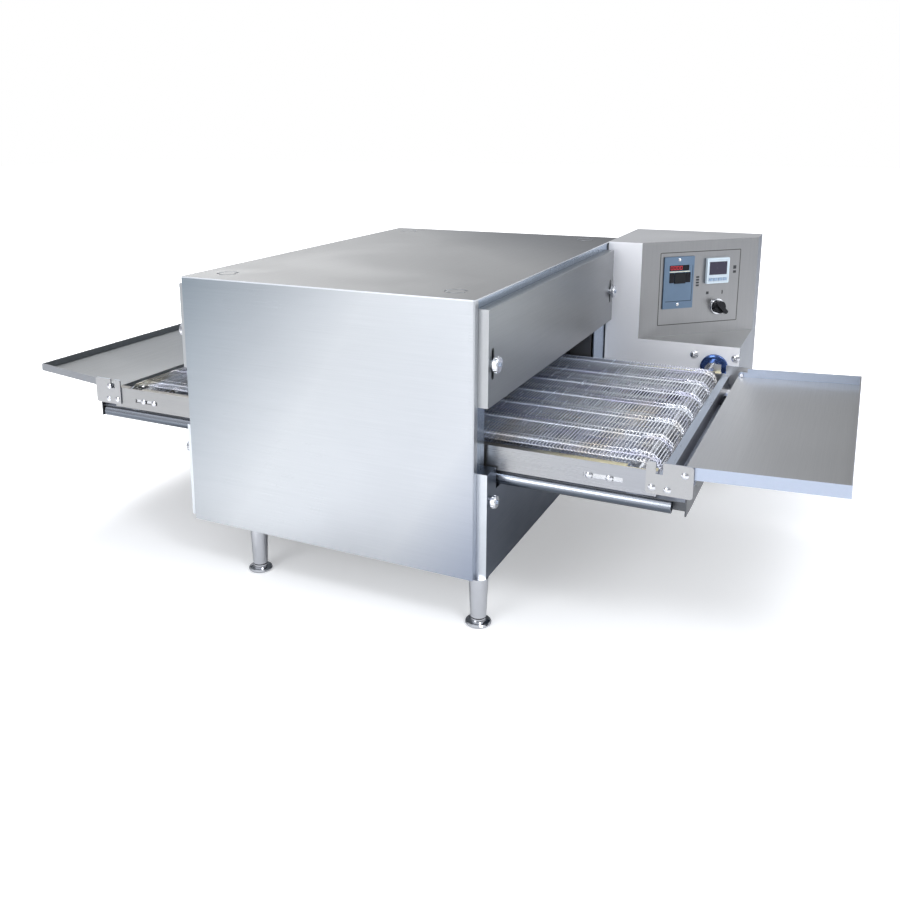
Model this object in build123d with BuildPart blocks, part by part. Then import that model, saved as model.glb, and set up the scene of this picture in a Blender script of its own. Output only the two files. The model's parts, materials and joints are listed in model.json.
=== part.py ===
from build123d import *
import math
import os

# Countertop conveyor pizza oven, in millimetres.
# +X is the way the belt travels (towards the exit), +Y points away from the plain side panel,
# +Z is up. The origin is on the floor, at the centre of the footprint.
#
# Distances along X are reaches from the chamber's centre, and distances along Y are offsets
# from it, so that both ends of the oven come from the same functions.

os.makedirs("parts", exist_ok=True)

# ---------------------------------------------------------------- driving dimensions
sheet = 2.0                # stainless sheet
gap = 0.4                  # between pieces that move past each other
running_fit = 0.05         # radial clearance of a shaft in its bore

casing_length = 490.0      # along X
casing_depth = 742.0       # along Y
casing_height = 400.0
leg_height = 72.0
back_reach = 553.0         # chamber centre to the back of the control box
tray_reach = {"exit": 706.0, "infeed": 628.0}

chamber_x = (tray_reach["infeed"] - tray_reach["exit"]) / 2
chamber_y = (casing_depth / 2 - back_reach) / 2
base_z = leg_height
top_z = leg_height + casing_height
side = {"exit": 1, "infeed": -1}
ends = ("exit", "infeed")


def along(end, reach):
    """X of a point at a reach from the chamber's centre, towards one end."""
    return chamber_x + side[end] * reach


def across(offset):
    """Y of a point at an offset from the chamber's centre."""
    return chamber_y + offset


def block(x, y, z, mode=Mode.ADD):
    """A box between two values along each axis, in either order."""
    middle = tuple((low + high) / 2 for low, high in (x, y, z))
    with Locations(middle):
        Box(abs(x[1] - x[0]), abs(y[1] - y[0]), abs(z[1] - z[0]), mode=mode)


def rod_along_y(x, z, radius, y, mode=Mode.ADD):
    """A round bar, or a hole, along Y between two values of Y."""
    with Locations(Plane((x, (y[0] + y[1]) / 2, z), z_dir=(0, 1, 0))):
        Cylinder(radius, abs(y[1] - y[0]), mode=mode)


def rod_along_x(y, z, radius, x, mode=Mode.ADD):
    """A round bar, or a hole, along X between two values of X."""
    with Locations(Plane(((x[0] + x[1]) / 2, y, z), z_dir=(1, 0, 0))):
        Cylinder(radius, abs(x[1] - x[0]), mode=mode)


def save(builder, label):
    """Name a finished piece and write it."""
    builder.part.label = label
    export_step(builder.part, f"parts/{label}.step")


# ---------------------------------------------------------------- casing
half_length = casing_length / 2
near_y = across(-casing_depth / 2)
far_y = across(casing_depth / 2)
exit_x = along("exit", half_length)
infeed_x = along("infeed", half_length)
return_width = 12.5        # folded edge of a side panel
bend = 2.6                 # outer radius of a folded edge
frame_reach = half_length - sheet      # outer face of each end frame

mouth_near = -328.0        # the conveyor's opening in each end frame
mouth_far = 232.0
mouth_low = base_z + 127.0
mouth_high = base_z + 278.0

dimple_radius = 17.0       # seats for the feet of a second oven stacked on top
dimple_depth = 1.2
dimple_rim = 4.0           # width of the groove round each seat
dimple_x = 195.0
dimple_y = 318.0
lip_depth = 9.0            # lips of the top cover, inside the side panels
louvre_size = (90.0, 5.0)
louvre_pitch = (112.5, 14.0)
louvre_count = (2, 9)
louvre_z = base_z + 220.0
pan_height = 28.0


def side_panel(label, outer_y, inward):
    """A plain panel with its two vertical edges and its bottom edge folded inwards."""
    with BuildPart() as panel:
        inner_y = outer_y + inward * return_width
        block((infeed_x, exit_x), (outer_y, inner_y), (base_z, top_z - sheet))
        folded = panel.edges().filter_by(Axis.Z).group_by(Axis.Y)[0 if inward > 0 else -1]
        fillet(folded, bend)
        block((infeed_x + sheet, exit_x - sheet), (outer_y + inward * sheet, inner_y),
              (base_z + sheet, top_z), mode=Mode.SUBTRACT)
        if inward < 0:
            with Locations(Plane((chamber_x, outer_y, louvre_z), x_dir=(1, 0, 0), z_dir=(0, 1, 0))):
                with GridLocations(*louvre_pitch, *louvre_count):
                    Box(*louvre_size, 4 * sheet, mode=Mode.SUBTRACT)
    save(panel, label)


side_panel("near_side_panel", near_y, 1)
side_panel("far_side_panel", far_y, -1)

with BuildPart() as top_cover:
    block((infeed_x, exit_x), (near_y, far_y), (top_z - sheet, top_z))
    fillet(top_cover.edges().filter_by(Axis.Z), bend)
    for lip_y, inward in ((near_y, 1), (far_y, -1)):
        inset = sheet + gap
        block((infeed_x + 3 * sheet, exit_x - 3 * sheet),
              (lip_y + inward * inset, lip_y + inward * (inset + sheet)),
              (top_z - sheet - lip_depth, top_z - sheet))
    with Locations(Plane((chamber_x, across(0), top_z))):
        with GridLocations(2 * dimple_x, 2 * dimple_y, 2, 2):
            Cylinder(dimple_radius, 2 * dimple_depth, mode=Mode.SUBTRACT)
            Cylinder(dimple_radius - dimple_rim, dimple_depth,
                     align=(Align.CENTER, Align.CENTER, Align.MAX))
save(top_cover, "top_cover")

with BuildPart() as base_pan:
    wall_y = (near_y + 2 * sheet, far_y - 2 * sheet)
    wall_x = (infeed_x + 3 * sheet, exit_x - 3 * sheet)
    block(wall_x, wall_y, (base_z + sheet, base_z + pan_height))
    block((wall_x[0] + sheet, wall_x[1] - sheet), (wall_y[0] + sheet, wall_y[1] - sheet),
          (base_z + 2 * sheet, base_z + pan_height), mode=Mode.SUBTRACT)
save(base_pan, "base_pan")

# ---------------------------------------------------------------- end frames, baffles, plates
baffle_near = -358.0       # edges of the baffles and lower plates across the oven
baffle_far = 290.0
baffle_face = 260.0        # reach of their front faces
baffle_deep = baffle_face - frame_reach - gap
baffle_low = base_z + 250.0
baffle_high = base_z + 386.0
plate_high = base_z + 124.0
plate_ear = (34.0, 31.0)   # width and height of the ears at the ends of the lower plates

stud_radius = 3.0
collar_radius = 6.0
stud_reach = 272.0
stud_z = base_z + 309.0
stud_offsets = {"near": -342.0, "far": 270.0}
slot_height = 44.0
slot_width = 9.0
low_stud_offset = -345.0
low_stud_z = base_z + 113.0


def end_frame(end):
    """The sheet that closes an end of the casing, with the conveyor's mouth and weld studs."""
    inner = along(end, frame_reach - sheet)
    outer = along(end, frame_reach)
    with BuildPart() as frame:
        block((inner, outer), (near_y + sheet + gap, far_y - sheet - gap),
              (base_z + sheet + gap, top_z - sheet))
        block((inner, outer), (across(mouth_near), across(mouth_far)), (mouth_low, mouth_high),
              mode=Mode.SUBTRACT)
        places = [(offset, stud_z) for offset in stud_offsets.values()]
        places.append((low_stud_offset, low_stud_z))
        for offset, height in places:
            collar_end = along(end, baffle_face - sheet - gap)
            rod_along_x(across(offset), height, collar_radius, (outer, collar_end))
            rod_along_x(across(offset), height, stud_radius, (outer, along(end, stud_reach)))
    save(frame, f"{end}_end_frame")


def face_pan(x_face, x_back, low, high):
    """A shallow folded pan that stands across the end of the oven, open at the back."""
    block((x_face, x_back), (across(baffle_near), across(baffle_far)), (low, high))
    thickness = math.copysign(sheet, x_back - x_face)
    block((x_face + thickness, x_back),
          (across(baffle_near) + sheet, across(baffle_far) - sheet),
          (low + sheet, high - sheet), mode=Mode.SUBTRACT)


def baffle(end):
    """The upper baffle, which slides up and down on its studs to suit the food's height."""
    x_face, x_back = along(end, baffle_face), along(end, baffle_face - baffle_deep)
    with BuildPart() as pan:
        face_pan(x_face, x_back, baffle_low, baffle_high)
        for offset in stud_offsets.values():
            y = across(offset)
            straight = (slot_height - slot_width) / 2
            block((x_face, x_back), (y - slot_width / 2, y + slot_width / 2),
                  (stud_z - straight, stud_z + straight), mode=Mode.SUBTRACT)
            for tip in (stud_z - straight, stud_z + straight):
                rod_along_x(y, tip, slot_width / 2, (x_face, x_back), mode=Mode.SUBTRACT)
    save(pan, f"{end}_baffle")


for end in ends:
    end_frame(end)
    baffle(end)

# The plates below the conveyor's two mouths, with an ear at each end beside the rails.
with BuildPart() as lower_plates:
    for end in ends:
        x_face, x_back = along(end, baffle_face), along(end, baffle_face - baffle_deep)
        face_pan(x_face, x_back, base_z, plate_high + plate_ear[1])
        between = (across(baffle_near + plate_ear[0]), across(baffle_far - plate_ear[0]))
        block((x_face, x_back), between, (plate_high, plate_high + plate_ear[1]),
              mode=Mode.SUBTRACT)
        block((x_face, x_back), between, (plate_high - sheet, plate_high))
        rod_along_x(across(low_stud_offset), low_stud_z, stud_radius + gap, (x_face, x_back),
                    mode=Mode.SUBTRACT)
save(lower_plates, "lower_plates")

# ---------------------------------------------------------------- thumb nuts
nut_collar_radius = 6.5
nut_collar = 3.0
nut_head = {"near": 11.5, "far": 11.5, "low": 9.0}     # radius of each nut's knurled head
nut_head_thick = 7.0
nut_dish = 2.0             # rounding of the head's outer face
knurl_count = 12
knurl_radius = 0.8


def thumb_nut(label, end, offset, height, radius):
    """A round nut with a knurled head, which clamps a baffle or a plate on its stud."""
    y = across(offset)
    seat = baffle_face + gap
    head_low, head_high = seat + nut_collar, seat + nut_collar + nut_head_thick
    with BuildPart() as nut:
        rod_along_x(y, height, nut_collar_radius, (along(end, seat), along(end, head_low)))
        rod_along_x(y, height, radius, (along(end, head_low), along(end, head_high)))
        outer_rim = nut.edges().filter_by(GeomType.CIRCLE).group_by(Axis.X)
        fillet(outer_rim[-1 if side[end] > 0 else 0], nut_dish)
        with Locations(Plane((along(end, head_low), y, height), z_dir=(side[end], 0, 0))):
            with PolarLocations(radius, knurl_count):
                Cylinder(knurl_radius, nut_head_thick - nut_dish, mode=Mode.SUBTRACT,
                         align=(Align.CENTER, Align.CENTER, Align.MIN))
        rod_along_x(y, height, stud_radius + running_fit, (along(end, seat - 1),
                    along(end, head_high + 1)), mode=Mode.SUBTRACT)
    save(nut, label)


for end in ends:
    for where, offset in stud_offsets.items():
        thumb_nut(f"{end}_thumb_nut_{where}", end, offset, stud_z, nut_head[where])
    thumb_nut(f"{end}_thumb_nut_low", end, low_stud_offset, low_stud_z, nut_head["low"])

# ---------------------------------------------------------------- legs and levelling feet
leg_reach = {"exit": 247.0, "infeed": 131.0}
leg_offset = {"near": -353.0, "far": 353.0}
leg_top_radius = 14.0
leg_foot_radius = 11.5
leg_bottom = 12.0
stem_radius = 5.0
stem_top = 44.0
flange_radius = 19.0
flange_top = 5.0           # height of the foot's flange
flange_edge = 1.5          # its chamfer
neck_low = 6.2             # the foot's neck, between flange and leg
neck_high = 10.5

leg_places = [
    (end, where, along(end, leg_reach[end]), across(leg_offset[where]))
    for end in ends
    for where in leg_offset
]

with BuildPart() as legs:
    for end, where, x, y in leg_places:
        with BuildSketch(Plane((x, y, leg_bottom))) as low_ring:
            Circle(leg_foot_radius)
        with BuildSketch(Plane((x, y, base_z - gap))) as high_ring:
            Circle(leg_top_radius)
        loft()
        with Locations(Plane((x, y, leg_bottom))):
            Cylinder(stem_radius + running_fit, stem_top, mode=Mode.SUBTRACT,
                     align=(Align.CENTER, Align.CENTER, Align.MIN))
        with Locations(Plane((x, y, base_z - gap))):
            Cylinder(leg_top_radius, gap, align=(Align.CENTER, Align.CENTER, Align.MIN))
save(legs, "legs")

for end, where, x, y in leg_places:
    with BuildPart() as foot:
        with BuildSketch(Plane((x, y, 0), x_dir=(1, 0, 0), z_dir=(0, -1, 0))) as profile:
            with BuildLine():
                Polyline(
                    (0, 0), (flange_radius - flange_edge, 0), (flange_radius, flange_edge),
                    (flange_radius, flange_top - flange_edge),
                    (flange_radius - flange_edge, flange_top), (leg_foot_radius, neck_low),
                    (leg_foot_radius, neck_high), (stem_radius, neck_high + 1),
                    (stem_radius, stem_top), (0, stem_top), close=True,
                )
            make_face()
        revolve(axis=Axis((x, y, 0), (0, 0, 1)))
    save(foot, f"foot_{end}_{where}")

# ---------------------------------------------------------------- heating chamber
liner_reach = 238.0
liner_near = -332.0
liner_low = base_z + 68.0
liner_high = base_z + 360.0
return_wall = 228.0        # offset of the chamber face of the wall with the return-air slots
bulkhead = 303.0           # offset of the chamber face of the wall that carries the blower
duct_half = 205.0
duct_height = 50.0
upper_duct = base_z + 264.0
lower_duct = base_z + 92.0
duct_near = -322.0
blower_z = base_z + 213.0
impeller_radius = 80.0
duct_lip = 6.0             # the return wall covers the rim of each duct's mouth
return_slot = (9.0, 62.0)
return_slot_pitch = 24.0
return_slot_count = 17
jet_radius = 7.0           # holes that blow air at the food
jet_pitch = (62.0, 64.0)
jet_count = (6, 8)
bulkhead_low = base_z + 30.0
bulkhead_high = base_z + 392.0
motor_shaft_radius = 4.0
impeller_near = 242.0      # offsets of the blower's wheel
impeller_blades = 42.0
impeller_plate = 284.0
impeller_hub_radius = 12.0
blade_count = 10
blade_length = 70.0
shaft_far = 340.0
motor_radius = 38.0
motor_far = 364.0
motor_lug_radius = 8.0
motor_lug_thick = 6.0
lead_end = 320.0           # the heating rings' leads pass through the bulkhead
wool_half = 225.0          # half the length of the insulation slabs
wool_low = base_z + 40.0
wool_high = base_z + 384.0
wool_near = -365.0
wool_far = 296.0
element_radius = 4.0
element_rings = ((246.0, 104.0), (262.0, 90.0))    # offset and radius of each heating ring
lead_half = 50.0

x_liner = (along("infeed", liner_reach), along("exit", liner_reach))
x_duct = (chamber_x - duct_half, chamber_x + duct_half)
bulkhead_face = across(bulkhead)


def lead_rise(radius):
    """Height above the blower's axis at which a heating ring's leads turn back."""
    return math.sqrt(radius ** 2 - lead_half ** 2)


with BuildPart() as chamber_liner:
    block(x_liner, (across(liner_near), bulkhead_face), (liner_low, liner_high))
    block(x_liner, (across(liner_near) + sheet, bulkhead_face),
          (liner_low + sheet, liner_high - sheet), mode=Mode.SUBTRACT)
save(chamber_liner, "chamber_liner")

with BuildPart() as return_air_wall:
    wall = (across(return_wall), across(return_wall) + sheet)
    inside = (liner_low + sheet + gap, liner_high - sheet - gap)
    block(x_liner, wall, inside)
    for low in (upper_duct, lower_duct):
        block((x_duct[0] + duct_lip, x_duct[1] - duct_lip), wall,
              (low + duct_lip, low + duct_height - duct_lip), mode=Mode.SUBTRACT)
    slot_plane = Plane((chamber_x, across(return_wall), blower_z), x_dir=(1, 0, 0),
                       z_dir=(0, 1, 0))
    with Locations(slot_plane):
        with GridLocations(return_slot_pitch, 0, return_slot_count, 1):
            Box(*return_slot, 4 * sheet, mode=Mode.SUBTRACT)
save(return_air_wall, "return_air_wall")

with BuildPart() as blower_bulkhead:
    plate = (bulkhead_face, bulkhead_face + sheet)
    block(x_liner, plate, (bulkhead_low, bulkhead_high))
    rod_along_y(chamber_x, blower_z, motor_shaft_radius + sheet, plate, mode=Mode.SUBTRACT)
    for _, radius in element_rings:
        for lead_x in (-lead_half, lead_half):
            rod_along_y(chamber_x + lead_x, blower_z + lead_rise(radius), element_radius, plate,
                        mode=Mode.SUBTRACT)
save(blower_bulkhead, "blower_bulkhead")

with BuildPart() as air_fingers:
    for low, jets in ((upper_duct, upper_duct), (lower_duct, lower_duct + duct_height)):
        y_duct = (across(duct_near), across(return_wall))
        block(x_duct, y_duct, (low, low + duct_height))
        block((x_duct[0] + sheet, x_duct[1] - sheet), (y_duct[0] + sheet, y_duct[1]),
              (low + sheet, low + duct_height - sheet), mode=Mode.SUBTRACT)
        with Locations(Plane((chamber_x, across((duct_near + return_wall) / 2), jets))):
            with GridLocations(*jet_pitch, *jet_count):
                Cylinder(jet_radius, 2 * sheet, mode=Mode.SUBTRACT)
save(air_fingers, "air_fingers")

with BuildPart() as heating_element:
    for offset, radius in element_rings:
        for lead_x in (-lead_half, lead_half):
            rod_along_y(chamber_x + lead_x, blower_z + lead_rise(radius), element_radius - 1,
                        (across(offset), across(lead_end)))
    for offset, radius in element_rings:
        with Locations(Plane((chamber_x, across(offset), blower_z), x_dir=(0, 0, -1),
                             z_dir=(0, 1, 0))):
            Torus(radius, element_radius)
save(heating_element, "heating_element")

with BuildPart() as blower_impeller:
    hub = (across(impeller_near), across(impeller_plate + 3 * sheet))
    back_plate = (across(impeller_plate), across(impeller_plate + sheet))
    motor_shaft = (across(impeller_near - sheet), across(shaft_far))
    rod_along_y(chamber_x, blower_z, impeller_hub_radius, hub)
    rod_along_y(chamber_x, blower_z, impeller_radius, back_plate)
    rod_along_y(chamber_x, blower_z, motor_shaft_radius, motor_shaft)
    blade_plane = Plane((chamber_x, across(impeller_near + impeller_blades / 2), blower_z),
                        x_dir=(1, 0, 0), z_dir=(0, 1, 0))
    with Locations(blade_plane):
        with PolarLocations(0, blade_count):
            with Locations((impeller_radius - sheet - blade_length / 2, 0)):
                Box(blade_length, sheet, impeller_blades)
save(blower_impeller, "blower_impeller")

with BuildPart() as blower_motor:
    motor_face = bulkhead_face + sheet
    rod_along_y(chamber_x, blower_z, motor_radius, (motor_face, across(motor_far)))
    fillet(blower_motor.edges().filter_by(GeomType.CIRCLE).group_by(Axis.Y)[-1], motor_lug_thick)
    with Locations(Plane((chamber_x, motor_face + motor_lug_thick / 2, blower_z),
                         z_dir=(0, 1, 0))):
        with PolarLocations(motor_radius + motor_lug_radius / 2, 4, 45):
            Cylinder(motor_lug_radius, motor_lug_thick)
    rod_along_y(chamber_x, blower_z, motor_shaft_radius + running_fit,
                (bulkhead_face, across(shaft_far + sheet)), mode=Mode.SUBTRACT)
save(blower_motor, "blower_motor")

with BuildPart() as insulation:
    x_slab = (chamber_x - wool_half, chamber_x + wool_half)
    y_flat = (across(liner_near + 1), across(wool_far))
    block(x_slab, (across(wool_near), across(liner_near - 2)), (wool_low, wool_high))
    block(x_slab, y_flat, (liner_high + 1, wool_high))
    block(x_slab, y_flat, (wool_low, liner_low - 1))
save(insulation, "insulation")

# ---------------------------------------------------------------- conveyor
rail_near = -320.0         # outer faces of the two rails
rail_far = 222.0
rail_low = base_z + 150.0
rail_high = base_z + 185.0
rail_reach = {"exit": 480.0, "infeed": 450.0}
rail_lip = 10.0
shaft_reach = {"exit": 455.0, "infeed": 406.0}
shaft_z = base_z + 171.0
shaft_radius = 8.0
belt_radius = 22.0
belt_thick = 3.0
belt_near = -306.0
belt_far = 208.0
lip_reach = {"exit": 509.0, "infeed": 455.0}       # inner edge of each tray
bolt_reach = {"exit": (390.0, 418.0), "infeed": (364.0, 387.0)}
bolt_z = base_z + 165.0
bracket_reach = {"exit": (466.0, 526.0), "infeed": (436.0, 492.0)}
bracket_low = base_z + 154.0
bracket_high = base_z + 198.0
bracket_round = 4.0
notch_size = (9.0, 17.0)
notch_in = 17.0            # from the bracket's inner edge to the middle of its notch
screw_places = ((8.0, 13.0), (28.0, 12.0))      # in from the bracket's edge, up from the rail
pin_z = base_z + 185.0
pin_radius = 3.0
plate_screw_radius = 2.5
slot_half = 3.0            # half the height of the rails' slots
slot_before = 7.0          # how far a slot runs past its bolts
slot_after = 18.0
lip_gap_half = 15.0        # the rails' lips are cut back round the bearings
support_radius = 2.5       # the rods that carry the belt, and their cross bars
support_count = 6
support_inset = 32.0
support_short = 28.0
cross_bar_reaches = (-330.0, -110.0, 110.0, 330.0)
cross_bar_width = 3.0
cross_bar_height = 14.0


def bracket_screws(end):
    """X and Z of the two small screws of an end bracket."""
    inner = bracket_reach[end][0]
    return [(along(end, inner + inwards), rail_low + rise) for inwards, rise in screw_places]


def rail(label, offset, inward):
    """A channel rail with a slot for the bearing hanger's bolts near each end."""
    outer = across(offset)
    x_span = (along("infeed", rail_reach["infeed"]), along("exit", rail_reach["exit"]))
    with BuildPart() as channel:
        block(x_span, (outer, outer + inward * sheet), (rail_low, rail_high))
        block(x_span, (outer, outer + inward * (sheet + rail_lip)), (rail_high - sheet, rail_high))
        block(x_span, (outer, outer + inward * (sheet + rail_lip)), (rail_low, rail_low + sheet))
        for end in ends:
            near_bolt, far_bolt = bolt_reach[end]
            web = (outer, outer + inward * sheet)
            lips = (outer + inward * sheet, outer + inward * (sheet + rail_lip))
            block((along(end, near_bolt - slot_before), along(end, far_bolt + slot_after)), web,
                  (bolt_z - slot_half, bolt_z + slot_half), mode=Mode.SUBTRACT)
            x = along(end, shaft_reach[end])
            block((x - lip_gap_half, x + lip_gap_half), lips, (rail_low, rail_high),
                  mode=Mode.SUBTRACT)
            screw_x, screw_z = bracket_screws(end)[0]
            rod_along_y(screw_x, screw_z, plate_screw_radius + gap, web, mode=Mode.SUBTRACT)
        if inward < 0:
            rod_along_y(along("exit", shaft_reach["exit"]), shaft_z, shaft_radius + gap, web,
                        mode=Mode.SUBTRACT)
    save(channel, label)


rail("near_rail", rail_near, 1)
rail("far_rail", rail_far, -1)

tube_radius = 9.5
tube_reach = {"exit": 499.0, "infeed": 478.0}
tube_z = mouth_low + tube_radius
tube_offsets = (rail_near + tube_radius, rail_far - tube_radius)

with BuildPart() as tray_runners:
    for end in ends:
        for offset in tube_offsets:
            span = (along(end, frame_reach - 6), along(end, tube_reach[end]))
            rod_along_x(across(offset), tube_z, tube_radius, span)
            rod_along_x(across(offset), tube_z, tube_radius - sheet, span, mode=Mode.SUBTRACT)
save(tray_runners, "tray_runners")

with BuildPart() as belt_supports:
    support_top = shaft_z + belt_radius - belt_thick - gap
    support_pitch = (belt_far - belt_near - 2 * support_inset) / (support_count - 1)
    rod_span = [along(end, shaft_reach[end] - support_short) for end in ends]
    for place in range(support_count):
        offset = belt_near + support_inset + place * support_pitch
        rod_along_x(across(offset), support_top - support_radius, support_radius, rod_span)
    under_lip = rail_high - sheet - gap
    for reach in cross_bar_reaches:
        bar = (chamber_x + reach - cross_bar_width / 2, chamber_x + reach + cross_bar_width / 2)
        block(bar, (across(rail_near) + sheet, across(rail_far) - sheet),
              (under_lip - cross_bar_height, under_lip))
        block(bar, (across(belt_near) + 2 * sheet, across(belt_far) - 2 * sheet),
              (under_lip, support_top - 2 * sheet))
save(belt_supports, "belt_supports")

with BuildPart() as belt:
    belt_plane = Plane((0, across(belt_near), 0), x_dir=(1, 0, 0), z_dir=(0, -1, 0))
    drive_x = along("exit", shaft_reach["exit"])
    idler_x = along("infeed", shaft_reach["infeed"])
    with BuildSketch(belt_plane) as loop:
        for radius, mode in ((belt_radius, Mode.ADD), (belt_radius - belt_thick, Mode.SUBTRACT)):
            with Locations(((drive_x + idler_x) / 2, shaft_z)):
                SlotCenterToCenter(drive_x - idler_x, 2 * radius, mode=mode)
    extrude(amount=-(belt_far - belt_near))
save(belt, "belt")

box_near = 306.0           # offset of the control box's front cheek
drive_tip = box_near + 52.0
collar_span = (box_near - 22.0, box_near - 6.0)
shaft_collar_radius = 14.0
hanger_thick = 3.0
hanger_past_bolt = 8.0     # how far a hanger runs past its bolt, and past the shaft
hanger_past_shaft = 13.0
hanger_below = 13.0        # and below and above the shaft
hanger_above = 8.0
boss_radius = 11.3
boss_length = 8.0
ring_radius = 25.0         # the drive's bearing ring on the control box
ring_thick = 5.0

# Sprockets and shafts. The teeth stop just short of the belt's inner face.
sprocket_count = 7
sprocket_radius = belt_radius - belt_thick - gap
sprocket_width = 14.0
sprocket_inset = 25.0
tooth_count = 9
tooth_size = (14.0, 4.0, 5.0)
hub_radius = 12.0
sprocket_pitch = (belt_far - belt_near - 2 * sprocket_inset) / (sprocket_count - 1)


def sprocket_set(label, end):
    """A row of toothed wheels on one of the two shafts."""
    x = along(end, shaft_reach[end])
    with BuildPart() as wheels:
        for place in range(sprocket_count):
            offset = belt_near + sprocket_inset + place * sprocket_pitch
            y = (across(offset) - sprocket_width / 2, across(offset) + sprocket_width / 2)
            rod_along_y(x, shaft_z, hub_radius, y)
            wheel = Plane((x, across(offset), shaft_z), x_dir=(1, 0, 0), z_dir=(0, 1, 0))
            with Locations(wheel):
                with PolarLocations(0, tooth_count):
                    with Locations((sprocket_radius - tooth_size[0] / 2, 0)):
                        Box(*tooth_size)
            rod_along_y(x, shaft_z, shaft_radius + running_fit, y, mode=Mode.SUBTRACT)
    save(wheels, label)


def shaft(label, end, far_tip, collar):
    """A plain round shaft; the drive shaft has a collar where it enters the control box."""
    x = along(end, shaft_reach[end])
    with BuildPart() as bar:
        rod_along_y(x, shaft_z, shaft_radius, (across(rail_near) + sheet + gap, across(far_tip)))
        if collar:
            rod_along_y(x, shaft_z, shaft_collar_radius, [across(offset) for offset in collar])
    save(bar, label)


for end in ends:
    sprocket_set("drive_sprockets" if end == "exit" else "idler_sprockets", end)

shaft("drive_shaft", "exit", drive_tip, collar_span)
shaft("idler_shaft", "infeed", rail_far - sheet - gap, None)

with BuildPart() as shaft_bearings:
    for end in ends:
        x = along(end, shaft_reach[end])
        bolts = [along(end, reach) for reach in bolt_reach[end]]
        for offset, inward in ((rail_near, 1), (rail_far, -1)):
            face = across(offset) + inward * sheet
            hanger = (face, face + inward * hanger_thick)
            block((bolts[0] - side[end] * hanger_past_bolt, x + side[end] * hanger_past_shaft),
                  hanger, (shaft_z - hanger_below, shaft_z + hanger_above))
            rod_along_y(x, shaft_z, boss_radius, (face, face + inward * boss_length))
            for bolt_x in bolts:
                rod_along_y(bolt_x, bolt_z, plate_screw_radius + gap, hanger, mode=Mode.SUBTRACT)
            rod_along_y(x, shaft_z, shaft_radius + running_fit,
                        (face - inward, face + inward * (boss_length + 1)), mode=Mode.SUBTRACT)
    x = along("exit", shaft_reach["exit"])
    ring = (across(box_near - ring_thick), across(box_near))
    rod_along_y(x, shaft_z, ring_radius, ring)
    rod_along_y(x, shaft_z, shaft_radius + running_fit, ring, mode=Mode.SUBTRACT)
save(shaft_bearings, "shaft_bearings")

# ---------------------------------------------------------------- ends of the conveyor
tab_reach_in = 8.0         # the trays rest on tabs that the brackets fold inwards
tab_ends = (8.0, 2.0)      # in from the bracket's outer edge
tab_thick = 3.0
turn_gap = 4.0             # between the belt's turn and the end plate
plate_set_in = 16.0        # from the end plate's face to the tray's edge
end_plate_top = base_z + 178.0
slope = {"exit": math.radians(2.4), "infeed": math.radians(4.8)}
tray_inner_z = base_z + 179.0
pin_past_lip = 6.0


def pin_place(end):
    """X and Z of the pins that a tray hooks on and tilts about."""
    return along(end, lip_reach[end] + pin_past_lip), pin_z


def conveyor_end(end):
    """Two brackets with a bent plate between them, just beyond the belt's turn."""
    inner, outer = bracket_reach[end]
    turn_clear = shaft_reach[end] + belt_radius + turn_gap
    plate_face = lip_reach[end] - plate_set_in
    with BuildPart() as frame:
        for offset, outward in ((rail_near, -1), (rail_far, 1)):
            face = across(offset)
            ear_plane = Plane((0, face, 0), x_dir=(1, 0, 0), z_dir=(0, outward, 0))
            mirror_z = -1 if outward > 0 else 1
            with BuildSketch(ear_plane) as ear:
                middle = ((along(end, inner) + along(end, outer)) / 2,
                          mirror_z * (bracket_low + bracket_high) / 2)
                with Locations(middle):
                    Rectangle(outer - inner, bracket_high - bracket_low)
                fillet(ear.vertices(), bracket_round)
                notch_z = bracket_high + 1 - notch_size[1] / 2
                with Locations((along(end, inner + notch_in), mirror_z * notch_z)):
                    Rectangle(*notch_size, mode=Mode.SUBTRACT)
                for screw_x, screw_z in bracket_screws(end):
                    with Locations((screw_x, mirror_z * screw_z)):
                        Circle(plate_screw_radius + gap, mode=Mode.SUBTRACT)
                with Locations((pin_place(end)[0], mirror_z * pin_z)):
                    Circle(pin_radius + running_fit, mode=Mode.SUBTRACT)
            extrude(ear.sketch, amount=sheet)
            tab = [along(end, outer - tab_end) for tab_end in tab_ends]
            tab_top = tray_inner_z - sheet / 2 - gap
            block(tab, (face + outward * sheet, face - outward * tab_reach_in),
                  (tab_top - tab_thick, tab_top))
        overlap = sheet if end == "infeed" else 0
        across_span = (across(rail_near) + overlap, across(rail_far) - overlap)
        block((along(end, turn_clear), along(end, plate_face)), across_span,
              (end_plate_top - sheet, end_plate_top))
        block((along(end, plate_face - sheet), along(end, plate_face)), across_span,
              (bracket_low, end_plate_top))
    save(frame, f"{end}_conveyor_end")


# ---------------------------------------------------------------- pizza trays
flange_height = {"exit": 17.0, "infeed": 13.0}
tray_near = rail_near + sheet + gap
tray_far = rail_far - sheet - gap
flange_start = 16.0        # the side flanges start clear of the brackets
ear_radius = 5.5
ear_arm = 12.0             # from the pin to the side flange
apron_drop = 9.0           # the tray's inner edge is folded down, between the tabs
apron_inset = 17.0


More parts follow.
